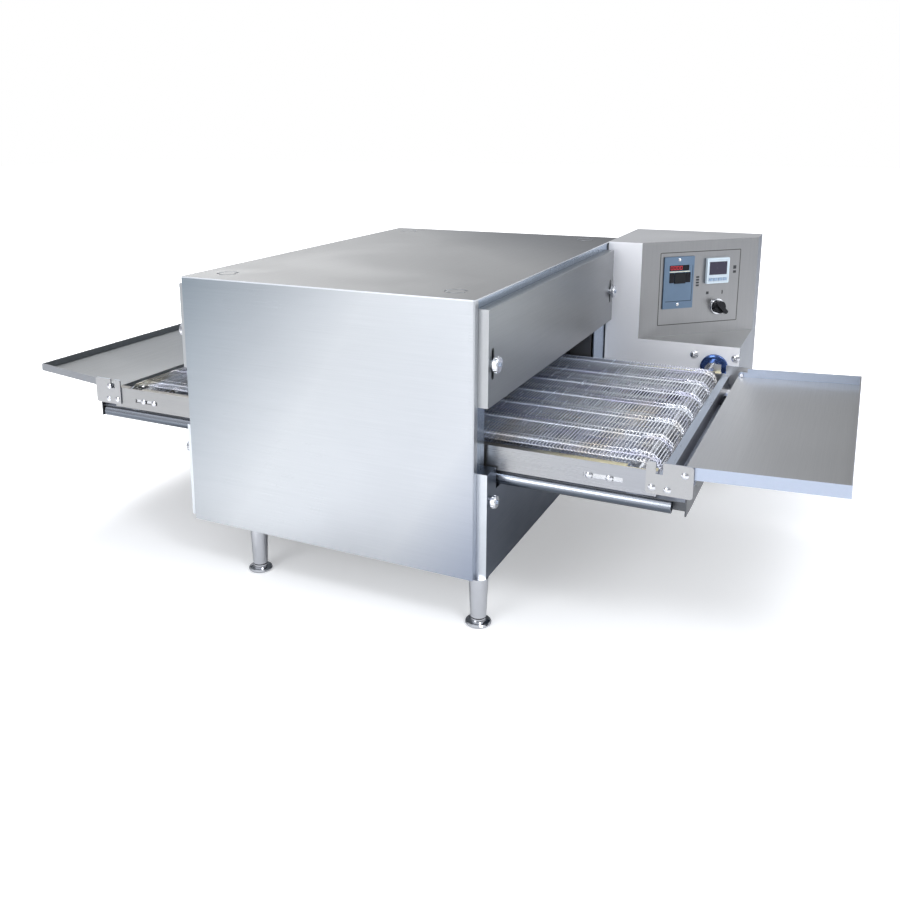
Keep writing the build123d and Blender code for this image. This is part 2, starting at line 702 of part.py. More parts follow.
def pizza_tray(end):
    """A sloping plate, flanged on three sides, with two ears that turn on the brackets' pins."""
    pin_x, _ = pin_place(end)
    direction = side[end]
    length = (tray_reach[end] - lip_reach[end]) / math.cos(slope[end])
    hinge = Plane((along(end, lip_reach[end]), 0, tray_inner_z),
                  x_dir=(direction * math.cos(slope[end]), 0, math.sin(slope[end])),
                  z_dir=(-direction * math.sin(slope[end]), 0, math.cos(slope[end])))
    y_near, y_far = across(tray_near), across(tray_far)
    width = y_far - y_near
    mid = direction * (y_near + y_far) / 2
    with BuildPart() as tray:
        with Locations(hinge):
            with Locations((length / 2, mid, sheet / 2)):
                Box(length, width, sheet)
            with Locations((length - sheet / 2, mid, flange_height[end] / 2)):
                Box(sheet, width, flange_height[end])
            for y_edge in (mid - (width - sheet) / 2, mid + (width - sheet) / 2):
                with Locations(((length + flange_start) / 2, y_edge, flange_height[end] / 2)):
                    Box(length - flange_start, sheet, flange_height[end])
            with Locations((sheet / 2, mid, (1 - apron_drop) / 2)):
                Box(sheet, width - 2 * apron_inset, apron_drop + 1)
        for y_edge, inward in ((y_near, 1), (y_far, -1)):
            ear = (y_edge, y_edge + inward * sheet)
            rod_along_y(pin_x, pin_z, ear_radius, ear)
            block((pin_x, pin_x + direction * ear_arm), ear, (tray_inner_z + 1, pin_z + 5))
        for y_edge, inward in ((y_near, 1), (y_far, -1)):
            rod_along_y(pin_x, pin_z, pin_radius + running_fit,
                        (y_edge - inward, y_edge + inward * 2 * sheet), mode=Mode.SUBTRACT)
    save(tray, f"{end}_tray")


# ---------------------------------------------------------------- crumb trays
crumb_front = {"exit": 519.0, "infeed": 484.0}
crumb_back = 252.0
crumb_rim = 1.2            # thickness of the rims that ride on the tubes
crumb_low = tube_z - tube_radius + 1
crumb_high = tube_z + tube_radius + gap + crumb_rim


def crumb_tray(end):
    """A shallow pan that hangs from the two tubes by its rims and pulls out along them."""
    pan_near = rail_near + 2 * tube_radius + 1
    pan_far = rail_far - 2 * tube_radius - 1
    back, front = along(end, crumb_back), along(end, crumb_front[end])
    inset = side[end] * sheet
    with BuildPart() as pan:
        block((back, front), (across(pan_near), across(pan_far)), (crumb_low, crumb_high))
        block((back + inset, front - inset), (across(pan_near) + sheet, across(pan_far) - sheet),
              (crumb_low + sheet, crumb_high), mode=Mode.SUBTRACT)
        for edge, outward in ((pan_near, -1), (pan_far, 1)):
            block((back, front), (across(edge), across(edge) + outward * (2 * tube_radius - 1)),
                  (crumb_high - crumb_rim, crumb_high))
        block((front - inset, front), (across(rail_near), across(rail_far)),
              (crumb_low + 1, bracket_low - 1))
    save(pan, f"{end}_crumb_tray")


for end in ends:
    conveyor_end(end)
    pizza_tray(end)
    crumb_tray(end)

# ---------------------------------------------------------------- control box
box_in = half_length       # reach of its wall against the casing
box_out = 499.0
screw_rise = 2.5
box_far = back_reach - screw_rise
shelf_z = base_z + 213.0
box_low = base_z + 8.0
box_high = top_z
face_start = (310.0, box_near)       # the diagonal face, as reach and offset
face_end = (box_out, 486.0)
box_sheet = 2.0

face_run = (face_end[0] - face_start[0], face_end[1] - face_start[1])
face_length = math.hypot(*face_run)
face_dir = (face_run[0] / face_length, face_run[1] / face_length)
face_out = (face_dir[1], -face_dir[0])


def panel_plane(run, height, out=0.0):
    """A plane on the diagonal face: its X runs along the face and its Z points out of it."""
    reach = face_start[0] + face_dir[0] * run + face_out[0] * out
    offset = face_start[1] + face_dir[1] * run + face_out[1] * out
    return Plane((along("exit", reach), across(offset), height),
                 x_dir=(face_dir[0], face_dir[1], 0), z_dir=(face_out[0], face_out[1], 0))


def outline(inset, with_corner_cut):
    """Points of the box's plan, set in from the outside by a thickness."""
    back = across(box_far) - box_sheet
    left, right = along("exit", box_in) + inset, along("exit", box_out) - inset
    front = across(box_near) + inset
    if not with_corner_cut:
        return [(left, front), (right, front), (right, back), (left, back)]
    shift = inset * math.tan((math.pi / 2 - math.atan2(face_run[0], face_run[1])) / 2)
    other = inset * math.tan(math.atan2(face_run[0], face_run[1]) / 2)
    cut_from = (along("exit", face_start[0]) - shift, front)
    cut_to = (right, across(face_end[1]) + other)
    return [(left, front), cut_from, cut_to, (right, back), (left, back)]


plate_centre = (131.0, base_z + 307.0)
plate_size = (180.0, 143.0)
plate_rim = 12.0           # the plate's hidden rim, clamped behind the face
vent_z = base_z + 320.0
vent_size = (80.0, 4.5)
vent_pitch = (95.0, 13.0)
vent_count = (2, 7)
nut_size = 12.0            # across the corners of the gland's nuts
nut_thick = 6.0
lock_nut_thick = 4.0
gland_barrel = 20.0        # how far the gland's barrel and its cap stand out
gland_cap = 23.0
gear_case = (80.0, 48.0, 82.0)
motor_can = (34.0, 178.0)  # radius, and how far it reaches from the box's front
motor_end = (30.0, 186.0)
cheek_screw_x = 37.5
cheek_screw_z = 21.0
gland_offset = 500.0
gland_z = base_z + 60.0
gland_radius = 8.0
gland_bore = 5.0
cover_screw_grid = (238.0, 370.0)
cover_screw_shift = 116.0


def plan_prism(points, low, high, mode=Mode.ADD):
    """A prism on a closed outline, between two heights, in the current part."""
    with BuildSketch(Plane.XY.offset(low)) as plan:
        with BuildLine():
            Polyline(*points, close=True)
        make_face()
    extrude(plan.sketch, amount=high - low, mode=mode)


# The box's lower half: its shelf is what the diagonal face stands on.
with BuildPart() as control_box_base:
    plan_prism(outline(0, False), box_low, shelf_z)
    plan_prism(outline(box_sheet, False), box_low + box_sheet, shelf_z - box_sheet,
               Mode.SUBTRACT)
    plan_prism(outline(box_sheet, True), shelf_z - box_sheet, shelf_z, Mode.SUBTRACT)
    drive_x = along("exit", shaft_reach["exit"])
    front_wall = (across(box_near), across(box_near) + 2 * box_sheet)
    rod_along_y(drive_x, shaft_z, shaft_radius + box_sheet, front_wall, mode=Mode.SUBTRACT)
    for dx in (-cheek_screw_x, cheek_screw_x):
        for dz in (-cheek_screw_z, cheek_screw_z):
            rod_along_y(drive_x + dx, shaft_z + dz, plate_screw_radius + gap,
                        front_wall, mode=Mode.SUBTRACT)
    rod_along_x(across(gland_offset), gland_z, gland_radius + gap,
                (along("exit", box_in), along("exit", box_in) + box_sheet), mode=Mode.SUBTRACT)
save(control_box_base, "control_box_base")

with BuildPart() as control_box_hood:
    plan_prism(outline(0, True), shelf_z, box_high)
    plan_prism(outline(box_sheet, True), shelf_z, box_high - box_sheet, Mode.SUBTRACT)
    with Locations(panel_plane(*plate_centre)):
        Box(plate_size[0] + 1, plate_size[1] + 1, 3 * box_sheet, mode=Mode.SUBTRACT)
save(control_box_hood, "control_box_hood")

with BuildPart() as control_box_back_cover:
    x_cover = (along("exit", box_in), along("exit", box_out))
    y_cover = (across(box_far) - box_sheet, across(box_far))
    block(x_cover, y_cover, (box_low, box_high))
    vent_plane = Plane((along("exit", (box_in + box_out) / 2), across(box_far), vent_z),
                       x_dir=(1, 0, 0), z_dir=(0, 1, 0))
    with Locations(vent_plane):
        with GridLocations(*vent_pitch, *vent_count):
            Box(*vent_size, 3 * box_sheet, mode=Mode.SUBTRACT)
        with GridLocations(cover_screw_grid[0], cover_screw_grid[1], 2, 2):
            with Locations((0, cover_screw_shift)):
                Cylinder(plate_screw_radius + gap, 3 * box_sheet, mode=Mode.SUBTRACT)
save(control_box_back_cover, "control_box_back_cover")

# The mains cord's inlet, on the wall that looks back along the casing.
with BuildPart() as cable_gland:
    wall_x = along("exit", box_in)
    y = across(gland_offset)
    for radius, x_span in (
        (gland_radius, (wall_x - nut_thick, wall_x + box_sheet + lock_nut_thick + 1)),
        (gland_radius + 1.5, (wall_x - gland_barrel, wall_x - nut_thick)),
        (gland_radius + 0.5, (wall_x - gland_cap, wall_x - gland_barrel)),
    ):
        rod_along_x(y, gland_z, radius, x_span)
    for x_nut, length in ((wall_x - nut_thick, nut_thick), (wall_x + box_sheet, lock_nut_thick)):
        with BuildSketch(Plane((x_nut, y, gland_z), z_dir=(1, 0, 0))) as hexagon:
            RegularPolygon(nut_size, 6)
        extrude(hexagon.sketch, amount=length)
    rod_along_x(y, gland_z, gland_bore, (wall_x - gland_cap, wall_x + gland_cap),
                mode=Mode.SUBTRACT)
save(cable_gland, "cable_gland")

with BuildPart() as drive_gearmotor:
    drive_x = along("exit", shaft_reach["exit"])
    front = across(box_near) + box_sheet
    with Locations((drive_x - 1, front + gear_case[1] / 2, shaft_z - 1)):
        Box(*gear_case)
    fillet(drive_gearmotor.edges().filter_by(Axis.Y), motor_lug_thick)
    rod_along_y(drive_x, shaft_z, motor_can[0], (front, front + motor_can[1]))
    rod_along_y(drive_x, shaft_z, motor_end[0], (front, front + motor_end[1]))
    rod_along_y(drive_x, shaft_z, shaft_radius + running_fit, (front, across(drive_tip) + sheet),
                mode=Mode.SUBTRACT)
save(drive_gearmotor, "drive_gearmotor")

# ---------------------------------------------------------------- control plate and fittings
# Each place is the distance along the diagonal face from its near edge, and the height.
speed_centre = (82.0, base_z + 319.0)
speed_size = (66.0, 102.0)
speed_neck = (56.0, 72.0)
bezel_rise = 3.0
rocker_centre = (84.0, base_z + 328.0)
rocker_size = (24.0, 20.0)
rocker_pin = 1.5
rocker_stub = 7.0          # the rocker's pin is this much longer than the rocker
rocker_seat = 7.0
digits_window = (44.0, 11.0)
digits_shift = (-2.0, 20.0)
temp_centre = (167.0, base_z + 339.0)
temp_size = 50.0
temp_neck = 45.0           # the part behind the panel is narrower than the bezel
temp_rise = 7.0
temp_window = (40.0, 26.0)
temp_window_shift = (0.0, 5.0)
key_seat = 4.2
key_size = (8.0, 5.0)
key_pitch = 10.6
key_drop = 17.0
key_travel = 0.8
key_rise = 1.2
knob_centre = (174.0, base_z + 266.0)
neck_radius = 10.6
bezel_radius = 16.0
bezel_height = 4.0
knob_radius = 12.5
knob_top = 13.0
pointer_size = (8.0, 31.0)
pointer_height = 8.0
spindle_depth = 18.0
spindle_radius = 3.0
body_depth = 28.0
speed_screws = ((81.5, base_z + 276.0), (81.5, base_z + 364.0))
small_screw_radius = 1.5


def on_face(place, out, size, mode=Mode.ADD, shift=(0, 0)):
    """A box on the diagonal face, between two distances out from it."""
    with Locations(panel_plane(place[0], place[1])):
        with Locations((shift[0], shift[1], (out[0] + out[1]) / 2)):
            Box(size[0], size[1], abs(out[1] - out[0]), mode=mode)


def round_on_face(place, out, radius, mode=Mode.ADD):
    """A round bar or hole square to the diagonal face, between two distances out from it."""
    with Locations(panel_plane(place[0], place[1])):
        with Locations((0, 0, (out[0] + out[1]) / 2)):
            Cylinder(radius, abs(out[1] - out[0]), mode=mode)


with BuildPart() as control_panel_plate:
    on_face(plate_centre, (-box_sheet, 0), plate_size)
    on_face(plate_centre, (-2 * box_sheet, -box_sheet),
            (plate_size[0] + plate_rim, plate_size[1] + plate_rim))
    through = (-3 * box_sheet, box_sheet)
    on_face(speed_centre, through, (speed_neck[0] + gap, speed_neck[1] + gap), mode=Mode.SUBTRACT)
    on_face(temp_centre, through, (temp_neck + gap, temp_neck + gap), mode=Mode.SUBTRACT)
    round_on_face(knob_centre, through, neck_radius + gap / 2, mode=Mode.SUBTRACT)
    for place in speed_screws:
        round_on_face(place, through, small_screw_radius + gap, mode=Mode.SUBTRACT)
save(control_panel_plate, "control_panel_plate")

with BuildPart() as speed_controller:
    on_face(speed_centre, (0, bezel_rise), speed_size)
    on_face(speed_centre, (-body_depth, 0), speed_neck)
    pocket = (rocker_size[0] + 2 * gap, rocker_size[1] + 4 * gap)
    on_face(rocker_centre, (-rocker_seat, bezel_rise), pocket, mode=Mode.SUBTRACT)
    on_face(rocker_centre, (bezel_rise - 1, bezel_rise), digits_window, shift=digits_shift,
            mode=Mode.SUBTRACT)
    with Locations(panel_plane(*rocker_centre)):
        with Locations(Location((0, 0, 0), (0, 90, 0))):
            Cylinder(rocker_pin + running_fit, rocker_size[0] + rocker_stub + 1,
                     mode=Mode.SUBTRACT)
    for place in speed_screws:
        round_on_face(place, (-1, bezel_rise + 1), small_screw_radius + gap, mode=Mode.SUBTRACT)
save(speed_controller, "speed_controller")

with BuildPart() as speed_rocker:
    on_face(rocker_centre, (-3, bezel_rise + 1.5), rocker_size)
    fillet(speed_rocker.edges().group_by(SortBy.LENGTH)[0], 0.8)
    with Locations(panel_plane(*rocker_centre)):
        with Locations(Location((0, 0, 0), (0, 90, 0))):
            Cylinder(rocker_pin, rocker_size[0] + rocker_stub)
save(speed_rocker, "speed_rocker")

with BuildPart() as temp_controller:
    on_face(temp_centre, (0, temp_rise), (temp_size, temp_size))
    fillet(temp_controller.edges().filter_by(Axis.Z), 1.5)
    on_face(temp_centre, (-2 * body_depth, 0), (temp_neck, temp_neck))
    on_face(temp_centre, (temp_rise - 1, temp_rise), temp_window, shift=temp_window_shift,
            mode=Mode.SUBTRACT)
    for place in range(4):
        shift = ((place - 1.5) * key_pitch, -key_drop)
        on_face(temp_centre, (temp_rise - key_seat, temp_rise),
                (key_size[0] + 2 * gap, key_size[1] + 2 * gap), shift=shift, mode=Mode.SUBTRACT)
save(temp_controller, "temp_controller")

for place in range(4):
    with BuildPart() as temp_key:
        shift = ((place - 1.5) * key_pitch, -key_drop)
        on_face(temp_centre, (temp_rise - key_seat + key_travel + gap, temp_rise + key_rise),
                key_size, shift=shift)
    save(temp_key, f"temp_key_{place + 1}")

with BuildPart() as selector_bezel:
    round_on_face(knob_centre, (0, bezel_height), bezel_radius)
    fillet(selector_bezel.edges().filter_by(GeomType.CIRCLE), bezel_height * 0.3)
    round_on_face(knob_centre, (-body_depth, 1), neck_radius)
    round_on_face(knob_centre, (-spindle_depth - sheet, bezel_height + 1),
                  spindle_radius + running_fit, mode=Mode.SUBTRACT)
save(selector_bezel, "selector_bezel")

with BuildPart() as selector_knob:
    round_on_face(knob_centre, (bezel_height + gap, knob_top), knob_radius)
    fillet(selector_knob.edges().filter_by(GeomType.CIRCLE), 1)
    with BuildSketch(panel_plane(*knob_centre, knob_top - 1)) as pointer:
        RectangleRounded(*pointer_size, spindle_radius, rotation=45)
    extrude(pointer.sketch, amount=pointer_height)
    round_on_face(knob_centre, (-spindle_depth, bezel_height + 1), spindle_radius)
save(selector_knob, "selector_knob")

# ---------------------------------------------------------------- fixed screws
head_radius = 4.8
cheek_head_radius = 7.5
cheek_head_rise = 4.0
small_head_radius = 3.2
shoulder_length = 12.0


def dome_screw(head, rise, shank, length):
    """A domed screw seated on the XY plane with its head upwards, turned from one profile."""
    edge = rise * 0.3
    dome_radius = (head ** 2 + (rise - edge) ** 2) / (2 * (rise - edge))
    half_turn = math.asin(head / dome_radius) / 2
    mid_dome = (dome_radius * math.sin(half_turn), rise - dome_radius * (1 - math.cos(half_turn)))
    with BuildPart() as screw:
        with BuildSketch(Plane.XZ) as profile:
            with BuildLine():
                Polyline((0, rise), (0, -length), (shank, -length), (shank, 0), (head, 0),
                         (head, edge))
                ThreePointArc((head, edge), mid_dome, (0, rise))
            make_face()
        revolve(axis=Axis.Z)
    return screw.part


rail_screw = dome_screw(head_radius, screw_rise, plate_screw_radius, 2 * sheet)
short_screw = dome_screw(head_radius, screw_rise, plate_screw_radius, sheet)
shoulder_screw = dome_screw(head_radius, screw_rise, pin_radius, shoulder_length)
cheek_screw = dome_screw(cheek_head_radius, cheek_head_rise, plate_screw_radius, sheet)
controller_screw = dome_screw(small_head_radius, small_screw_radius, small_screw_radius,
                              bezel_rise)

with BuildPart() as screws:
    for offset, outward in ((rail_near, -1), (rail_far, 1)):
        bracket_face = across(offset) + outward * sheet
        for end in ends:
            for reach in bolt_reach[end]:
                place = (along(end, reach), across(offset), bolt_z)
                with Locations(Plane(place, z_dir=(0, outward, 0))):
                    add(rail_screw)
            for screw_x, screw_z in bracket_screws(end):
                with Locations(Plane((screw_x, bracket_face, screw_z), z_dir=(0, outward, 0))):
                    add(short_screw)
            pin_x = pin_place(end)[0]
            with Locations(Plane((pin_x, bracket_face, pin_z), z_dir=(0, outward, 0))):
                add(shoulder_screw)
    cheek = Plane((along("exit", shaft_reach["exit"]), across(box_near), shaft_z),
                  x_dir=(1, 0, 0), z_dir=(0, -1, 0))
    with Locations(cheek):
        with GridLocations(2 * cheek_screw_x, 2 * cheek_screw_z, 2, 2):
            add(cheek_screw)
    with Locations(vent_plane):
        with GridLocations(cover_screw_grid[0], cover_screw_grid[1], 2, 2):
            with Locations((0, cover_screw_shift)):
                add(short_screw)
    for run, height in speed_screws:
        with Locations(panel_plane(run, height, bezel_rise)):
            add(controller_screw)
save(screws, "screws")
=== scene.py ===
import bpy
import bmesh
import json
import math
import random
from mathutils import Matrix, Vector


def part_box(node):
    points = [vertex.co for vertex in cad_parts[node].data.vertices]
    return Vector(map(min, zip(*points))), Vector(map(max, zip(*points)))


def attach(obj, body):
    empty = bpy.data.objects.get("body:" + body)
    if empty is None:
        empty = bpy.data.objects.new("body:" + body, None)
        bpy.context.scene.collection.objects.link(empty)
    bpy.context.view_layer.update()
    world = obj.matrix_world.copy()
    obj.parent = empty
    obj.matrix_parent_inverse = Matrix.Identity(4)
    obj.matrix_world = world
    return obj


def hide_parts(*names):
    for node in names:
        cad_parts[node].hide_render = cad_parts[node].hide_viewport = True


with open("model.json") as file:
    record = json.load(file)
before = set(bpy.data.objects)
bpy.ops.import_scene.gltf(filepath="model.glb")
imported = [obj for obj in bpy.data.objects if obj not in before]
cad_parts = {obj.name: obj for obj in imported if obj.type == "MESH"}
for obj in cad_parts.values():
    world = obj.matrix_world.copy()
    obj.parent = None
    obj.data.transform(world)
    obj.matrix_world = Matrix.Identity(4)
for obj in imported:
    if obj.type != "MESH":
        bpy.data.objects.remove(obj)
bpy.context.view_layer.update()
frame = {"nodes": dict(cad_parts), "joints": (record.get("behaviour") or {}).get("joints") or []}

# A countertop conveyor pizza oven, in metres, in the frame's own axes: +X is the way the belt
# travels, +Y points away from the plain side panel, +Z is up.
mm = 0.001
nodes = frame["nodes"]
joints = {joint["name"]: joint for joint in frame["joints"]}
random.seed(11)

casing_low, casing_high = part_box("top_cover")
base_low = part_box("near_side_panel")[0].z
casing_centre = Vector(((casing_low.x + casing_high.x) / 2, (casing_low.y + casing_high.y) / 2,
                        base_low))
casing_height = casing_high.z - base_low


# ---------------------------------------------------------------- camera and studio
def place_camera():
    """A camera low in front of the exit's near corner, looking down the oven's length."""
    azimuth, elevation, roll = math.radians(27.2), math.radians(12.5), math.radians(-0.54)
    stand = Vector((1.749, -3.675, 1.560))      # in casing heights, from the casing's underside
    camera = bpy.data.cameras.new("camera")
    camera.sensor_width = 36.0
    camera.lens = 36.94
    camera.shift_x = 0.0556
    camera.shift_y = -0.1333
    forward = Vector((-math.sin(azimuth) * math.cos(elevation),
                      math.cos(azimuth) * math.cos(elevation), -math.sin(elevation)))
    view = bpy.data.objects.new("camera", camera)
    bpy.context.scene.collection.objects.link(view)
    turn = forward.to_track_quat("-Z", "Y").to_matrix() @ Matrix.Rotation(roll, 3, "Z")
    view.matrix_world = Matrix.Translation(casing_centre + casing_height * stand) @ turn.to_4x4()
    bpy.context.scene.camera = view


def area_light(name, place, target, size, power, color=(1, 1, 1)):
    """A soft rectangular light that faces a point; its power is in watts."""
    light = bpy.data.lights.new(name, "AREA")
    light.shape = "RECTANGLE"
    light.size, light.size_y = size
    light.energy = power
    light.color = color
    lamp = bpy.data.objects.new(name, light)
    bpy.context.scene.collection.objects.link(lamp)
    lamp.location = place
    lamp.rotation_euler = (Vector(target) - Vector(place)).to_track_quat("-Z", "Y").to_euler()


def fill_ramp(ramp, stops):
    """Set a colour ramp's marks, each a position and a colour."""
    marks = ramp.color_ramp.elements
    while len(marks) < len(stops):
        marks.new(0.5)
    for mark, (position, color) in zip(marks, stops):
        mark.position = position
        mark.color = (*color, 1)


def light_studio():
    """White room: plain white behind the oven, and a surround and soft boxes for the steel."""
    surround = ((0.0, (0.50, 0.51, 0.53)), (0.30, (0.36, 0.37, 0.385)), (0.9, (0.92, 0.95, 1.0)))
    scene = bpy.context.scene
    scene.view_settings.view_transform = "Standard"
    world = bpy.data.worlds.new("studio")
    scene.world = world
    world.use_nodes = True
    tree = world.node_tree
    background = tree.nodes["Background"]
    place = tree.nodes.new("ShaderNodeTexCoord")
    split = tree.nodes.new("ShaderNodeSeparateXYZ")
    ramp = tree.nodes.new("ShaderNodeValToRGB")
    tree.links.new(place.outputs["Generated"], split.inputs[0])
    tree.links.new(split.outputs["Z"], ramp.inputs["Fac"])
    fill_ramp(ramp, surround)
    white = tree.nodes.new("ShaderNodeBackground")
    white.inputs["Color"].default_value = (1, 1, 1, 1)
    choose = tree.nodes.new("ShaderNodeMixShader")
    rays = tree.nodes.new("ShaderNodeLightPath")
    tree.links.new(rays.outputs["Is Camera Ray"], choose.inputs["Fac"])
    tree.links.new(ramp.outputs["Color"], background.inputs["Color"])
    tree.links.new(background.outputs["Background"], choose.inputs[1])
    tree.links.new(white.outputs["Background"], choose.inputs[2])
    tree.links.new(choose.outputs["Shader"], tree.nodes["World Output"].inputs["Surface"])
    area_light("key", place=(-1.5, 1.0, 2.6), target=(0, -0.1, 0.1), size=(1.0, 1.0), power=92)
    area_light("front", place=(-0.7, -3.2, 1.3), target=(0, 0, 0.25), size=(1.4, 1.8),
               power=34, color=(0.97, 0.985, 1.0))
    area_light("right", place=(3.0, 0.2, 1.5), target=(0, 0, 0.3), size=(1.4, 1.4),
               power=26, color=(0.95, 0.98, 1.0))
    area_light("fill", place=(1.1, -1.0, 1.5), target=(0.34, -0.05, 0.3), size=(0.5, 0.5),
               power=9, color=(0.96, 0.98, 1.0))


# ---------------------------------------------------------------- shapes
def mesh_object(name, vertices, faces):
    """A mesh piece from its corners and faces."""
    mesh = bpy.data.meshes.new(name)
    mesh.from_pydata(vertices, [], faces)
    mesh.update()
    piece = bpy.data.objects.new(name, mesh)
    bpy.context.scene.collection.objects.link(piece)
    return piece


def loft(name, rings, caps=True, joined=False):
    """A skin through rings of as many points each, closed by its end caps or end to end."""
    count = len(rings[0])
    vertices = [tuple(point) for ring in rings for point in ring]
    last = len(rings) if joined else len(rings) - 1
    faces = []
    for row in range(last):
        here, there = row * count, (row + 1) % len(rings) * count
        for step in range(count):
            after = (step + 1) % count
            faces.append((here + step, here + after, there + after, there + step))
    if caps:
        faces.append(tuple(range(count))[::-1])
        faces.append(tuple(range((len(rings) - 1) * count, len(rings) * count)))
    piece = mesh_object(name, vertices, faces)
    shape = bmesh.new()
    shape.from_mesh(piece.data)
    bmesh.ops.recalc_face_normals(shape, faces=shape.faces)
    shape.to_mesh(piece.data)
    shape.free()
    return piece


def rounded(width, height, radius, inset=0.0):
    """Points round a rectangle with round corners, set in by a margin."""
    steps = 5                                   # points in each corner
    half_width, half_height = width / 2 - inset, height / 2 - inset
    bend = max(radius - inset, radius * 0.2)
    points = []
    for corner, (dx, dy) in enumerate(((1, 1), (-1, 1), (-1, -1), (1, -1))):
        for step in range(steps):
            angle = math.radians(90 * (corner + step / (steps - 1)))
            points.append((dx * (half_width - bend) + bend * math.cos(angle),
                           dy * (half_height - bend) + bend * math.sin(angle)))
    return points


def finish_piece(piece, body, material, smooth=False):
    """Let a piece ride its body, and give it its finish and shading."""
    piece.data.materials.append(material)
    if smooth:
        piece.data.polygons.foreach_set("use_smooth", [True] * len(piece.data.polygons))
    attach(piece, body)


# ---------------------------------------------------------------- materials
surfaces = {}


class Surface:
    """A principled material whose detail is added step by step."""

    def __init__(self, name, color, metallic=0.0, roughness=0.5, **sockets):
        self.material = bpy.data.materials.new(name)
        self.material.use_nodes = True
        self.tree = self.material.node_tree
        self.shader = self.tree.nodes["Principled BSDF"]
        self.color = color
        self.shader.inputs["Base Color"].default_value = (*color, 1)
        self.shader.inputs["Metallic"].default_value = metallic
        self.shader.inputs["Roughness"].default_value = roughness
        for socket, value in sockets.items():
            self.shader.inputs[socket.replace("_", " ")].default_value = value
        self.place = self.tree.nodes.new("ShaderNodeTexCoord").outputs["Object"]
        self.normal = None

    def link(self, source, target):
        """Feed one socket from another."""
        self.tree.links.new(source, target)

    def noise(self, stretch, detail=2.0, distortion=0.0):
        """Noise with so many bumps per metre along each axis."""
        mapping = self.tree.nodes.new("ShaderNodeMapping")
        mapping.inputs["Scale"].default_value = stretch
        self.link(self.place, mapping.inputs["Vector"])
        noise = self.tree.nodes.new("ShaderNodeTexNoise")
        noise.inputs["Scale"].default_value = 1.0
        noise.inputs["Detail"].default_value = detail
        noise.inputs["Distortion"].default_value = distortion
        self.link(mapping.outputs["Vector"], noise.inputs["Vector"])
        return noise.outputs["Fac"]

    def remap(self, value, low, high, start=0.3, stop=0.7):
        """A value's middle range spread between two numbers."""
        remap = self.tree.nodes.new("ShaderNodeMapRange")
        remap.inputs["From Min"].default_value = start
        remap.inputs["From Max"].default_value = stop
        remap.inputs["To Min"].default_value = low
        remap.inputs["To Max"].default_value = high
        self.link(value, remap.inputs["Value"])
        return remap.outputs["Result"]

    def add(self, first, second):
        """The sum of two values."""
        total = self.tree.nodes.new("ShaderNodeMath")
        self.link(first, total.inputs[0])
        self.link(second, total.inputs[1])
        return total.outputs[0]

    def times(self, first, second):
        """The product of two values."""
        product = self.add(first, second)
        product.node.operation = "MULTIPLY"
        return product

    def coordinate(self, axis):
        """Place along one axis, in metres."""
        split = self.tree.nodes.new("ShaderNodeSeparateXYZ")
        self.link(self.place, split.inputs[0])
        return split.outputs[axis]

    def facing(self, direction, start, stop):
        """How squarely the surface faces a direction, from 0 at start to 1 at stop."""
        geometry = self.tree.nodes.new("ShaderNodeNewGeometry")
        dot = self.tree.nodes.new("ShaderNodeVectorMath")
        dot.operation = "DOT_PRODUCT"
        self.link(geometry.outputs["Normal"], dot.inputs[0])
        dot.inputs[1].default_value = direction
        return self.remap(dot.outputs["Value"], 0.0, 1.0, start, stop)

    def tone(self, direction, low, high, stops):
        """A painted reflection: a colour that drifts one way, as broad reflections in sheet metal
        do.

        low and high, in metres along the direction, are where the stops begin and end.
        """
        dot = self.tree.nodes.new("ShaderNodeVectorMath")
        dot.operation = "DOT_PRODUCT"
        self.link(self.place, dot.inputs[0])
        dot.inputs[1].default_value = direction
        ramp = self.tree.nodes.new("ShaderNodeValToRGB")
        fill_ramp(ramp, stops)
        self.link(self.remap(dot.outputs["Value"], 0.0, 1.0, low, high), ramp.inputs["Fac"])
        self.link(ramp.outputs["Color"], self.shader.inputs["Base Color"])

    def rough(self, value):
        """Drive the roughness by a value."""
        self.link(value, self.shader.inputs["Roughness"])

    def blend_color(self, factor, other, how="MIX"):
        """Mix the colour so far with another by a factor."""
        mix = self.tree.nodes.new("ShaderNodeMix")
        mix.data_type = "RGBA"
        mix.blend_type = how
        self.link(factor, mix.inputs["Factor"])
        base = self.shader.inputs["Base Color"]
        if base.is_linked:
            self.link(base.links[0].from_socket, mix.inputs["A"])
        else:
            mix.inputs["A"].default_value = (*self.color, 1)
        mix.inputs["B"].default_value = (*other, 1)
        self.link(mix.outputs["Result"], base)

    def bump(self, height, distance, strength=1.0):
        """Relief of a height pattern, on top of any relief so far."""
        bump = self.tree.nodes.new("ShaderNodeBump")
        bump.inputs["Distance"].default_value = distance
        bump.inputs["Strength"].default_value = strength
        self.link(height, bump.inputs["Height"])
        if self.normal is not None:
            self.link(self.normal, bump.inputs["Normal"])
        self.normal = bump.outputs["Normal"]
        self.link(self.normal, self.shader.inputs["Normal"])


def shade(color, factor):
    """A colour made lighter or darker."""
    return tuple(min(1.0, value * factor) for value in color)


def along_grain(grain, along, across):
    """Bumps per metre on X, Y and Z: few along the grain, many across it."""
    return tuple(along if axis == grain else across for axis in "xyz")


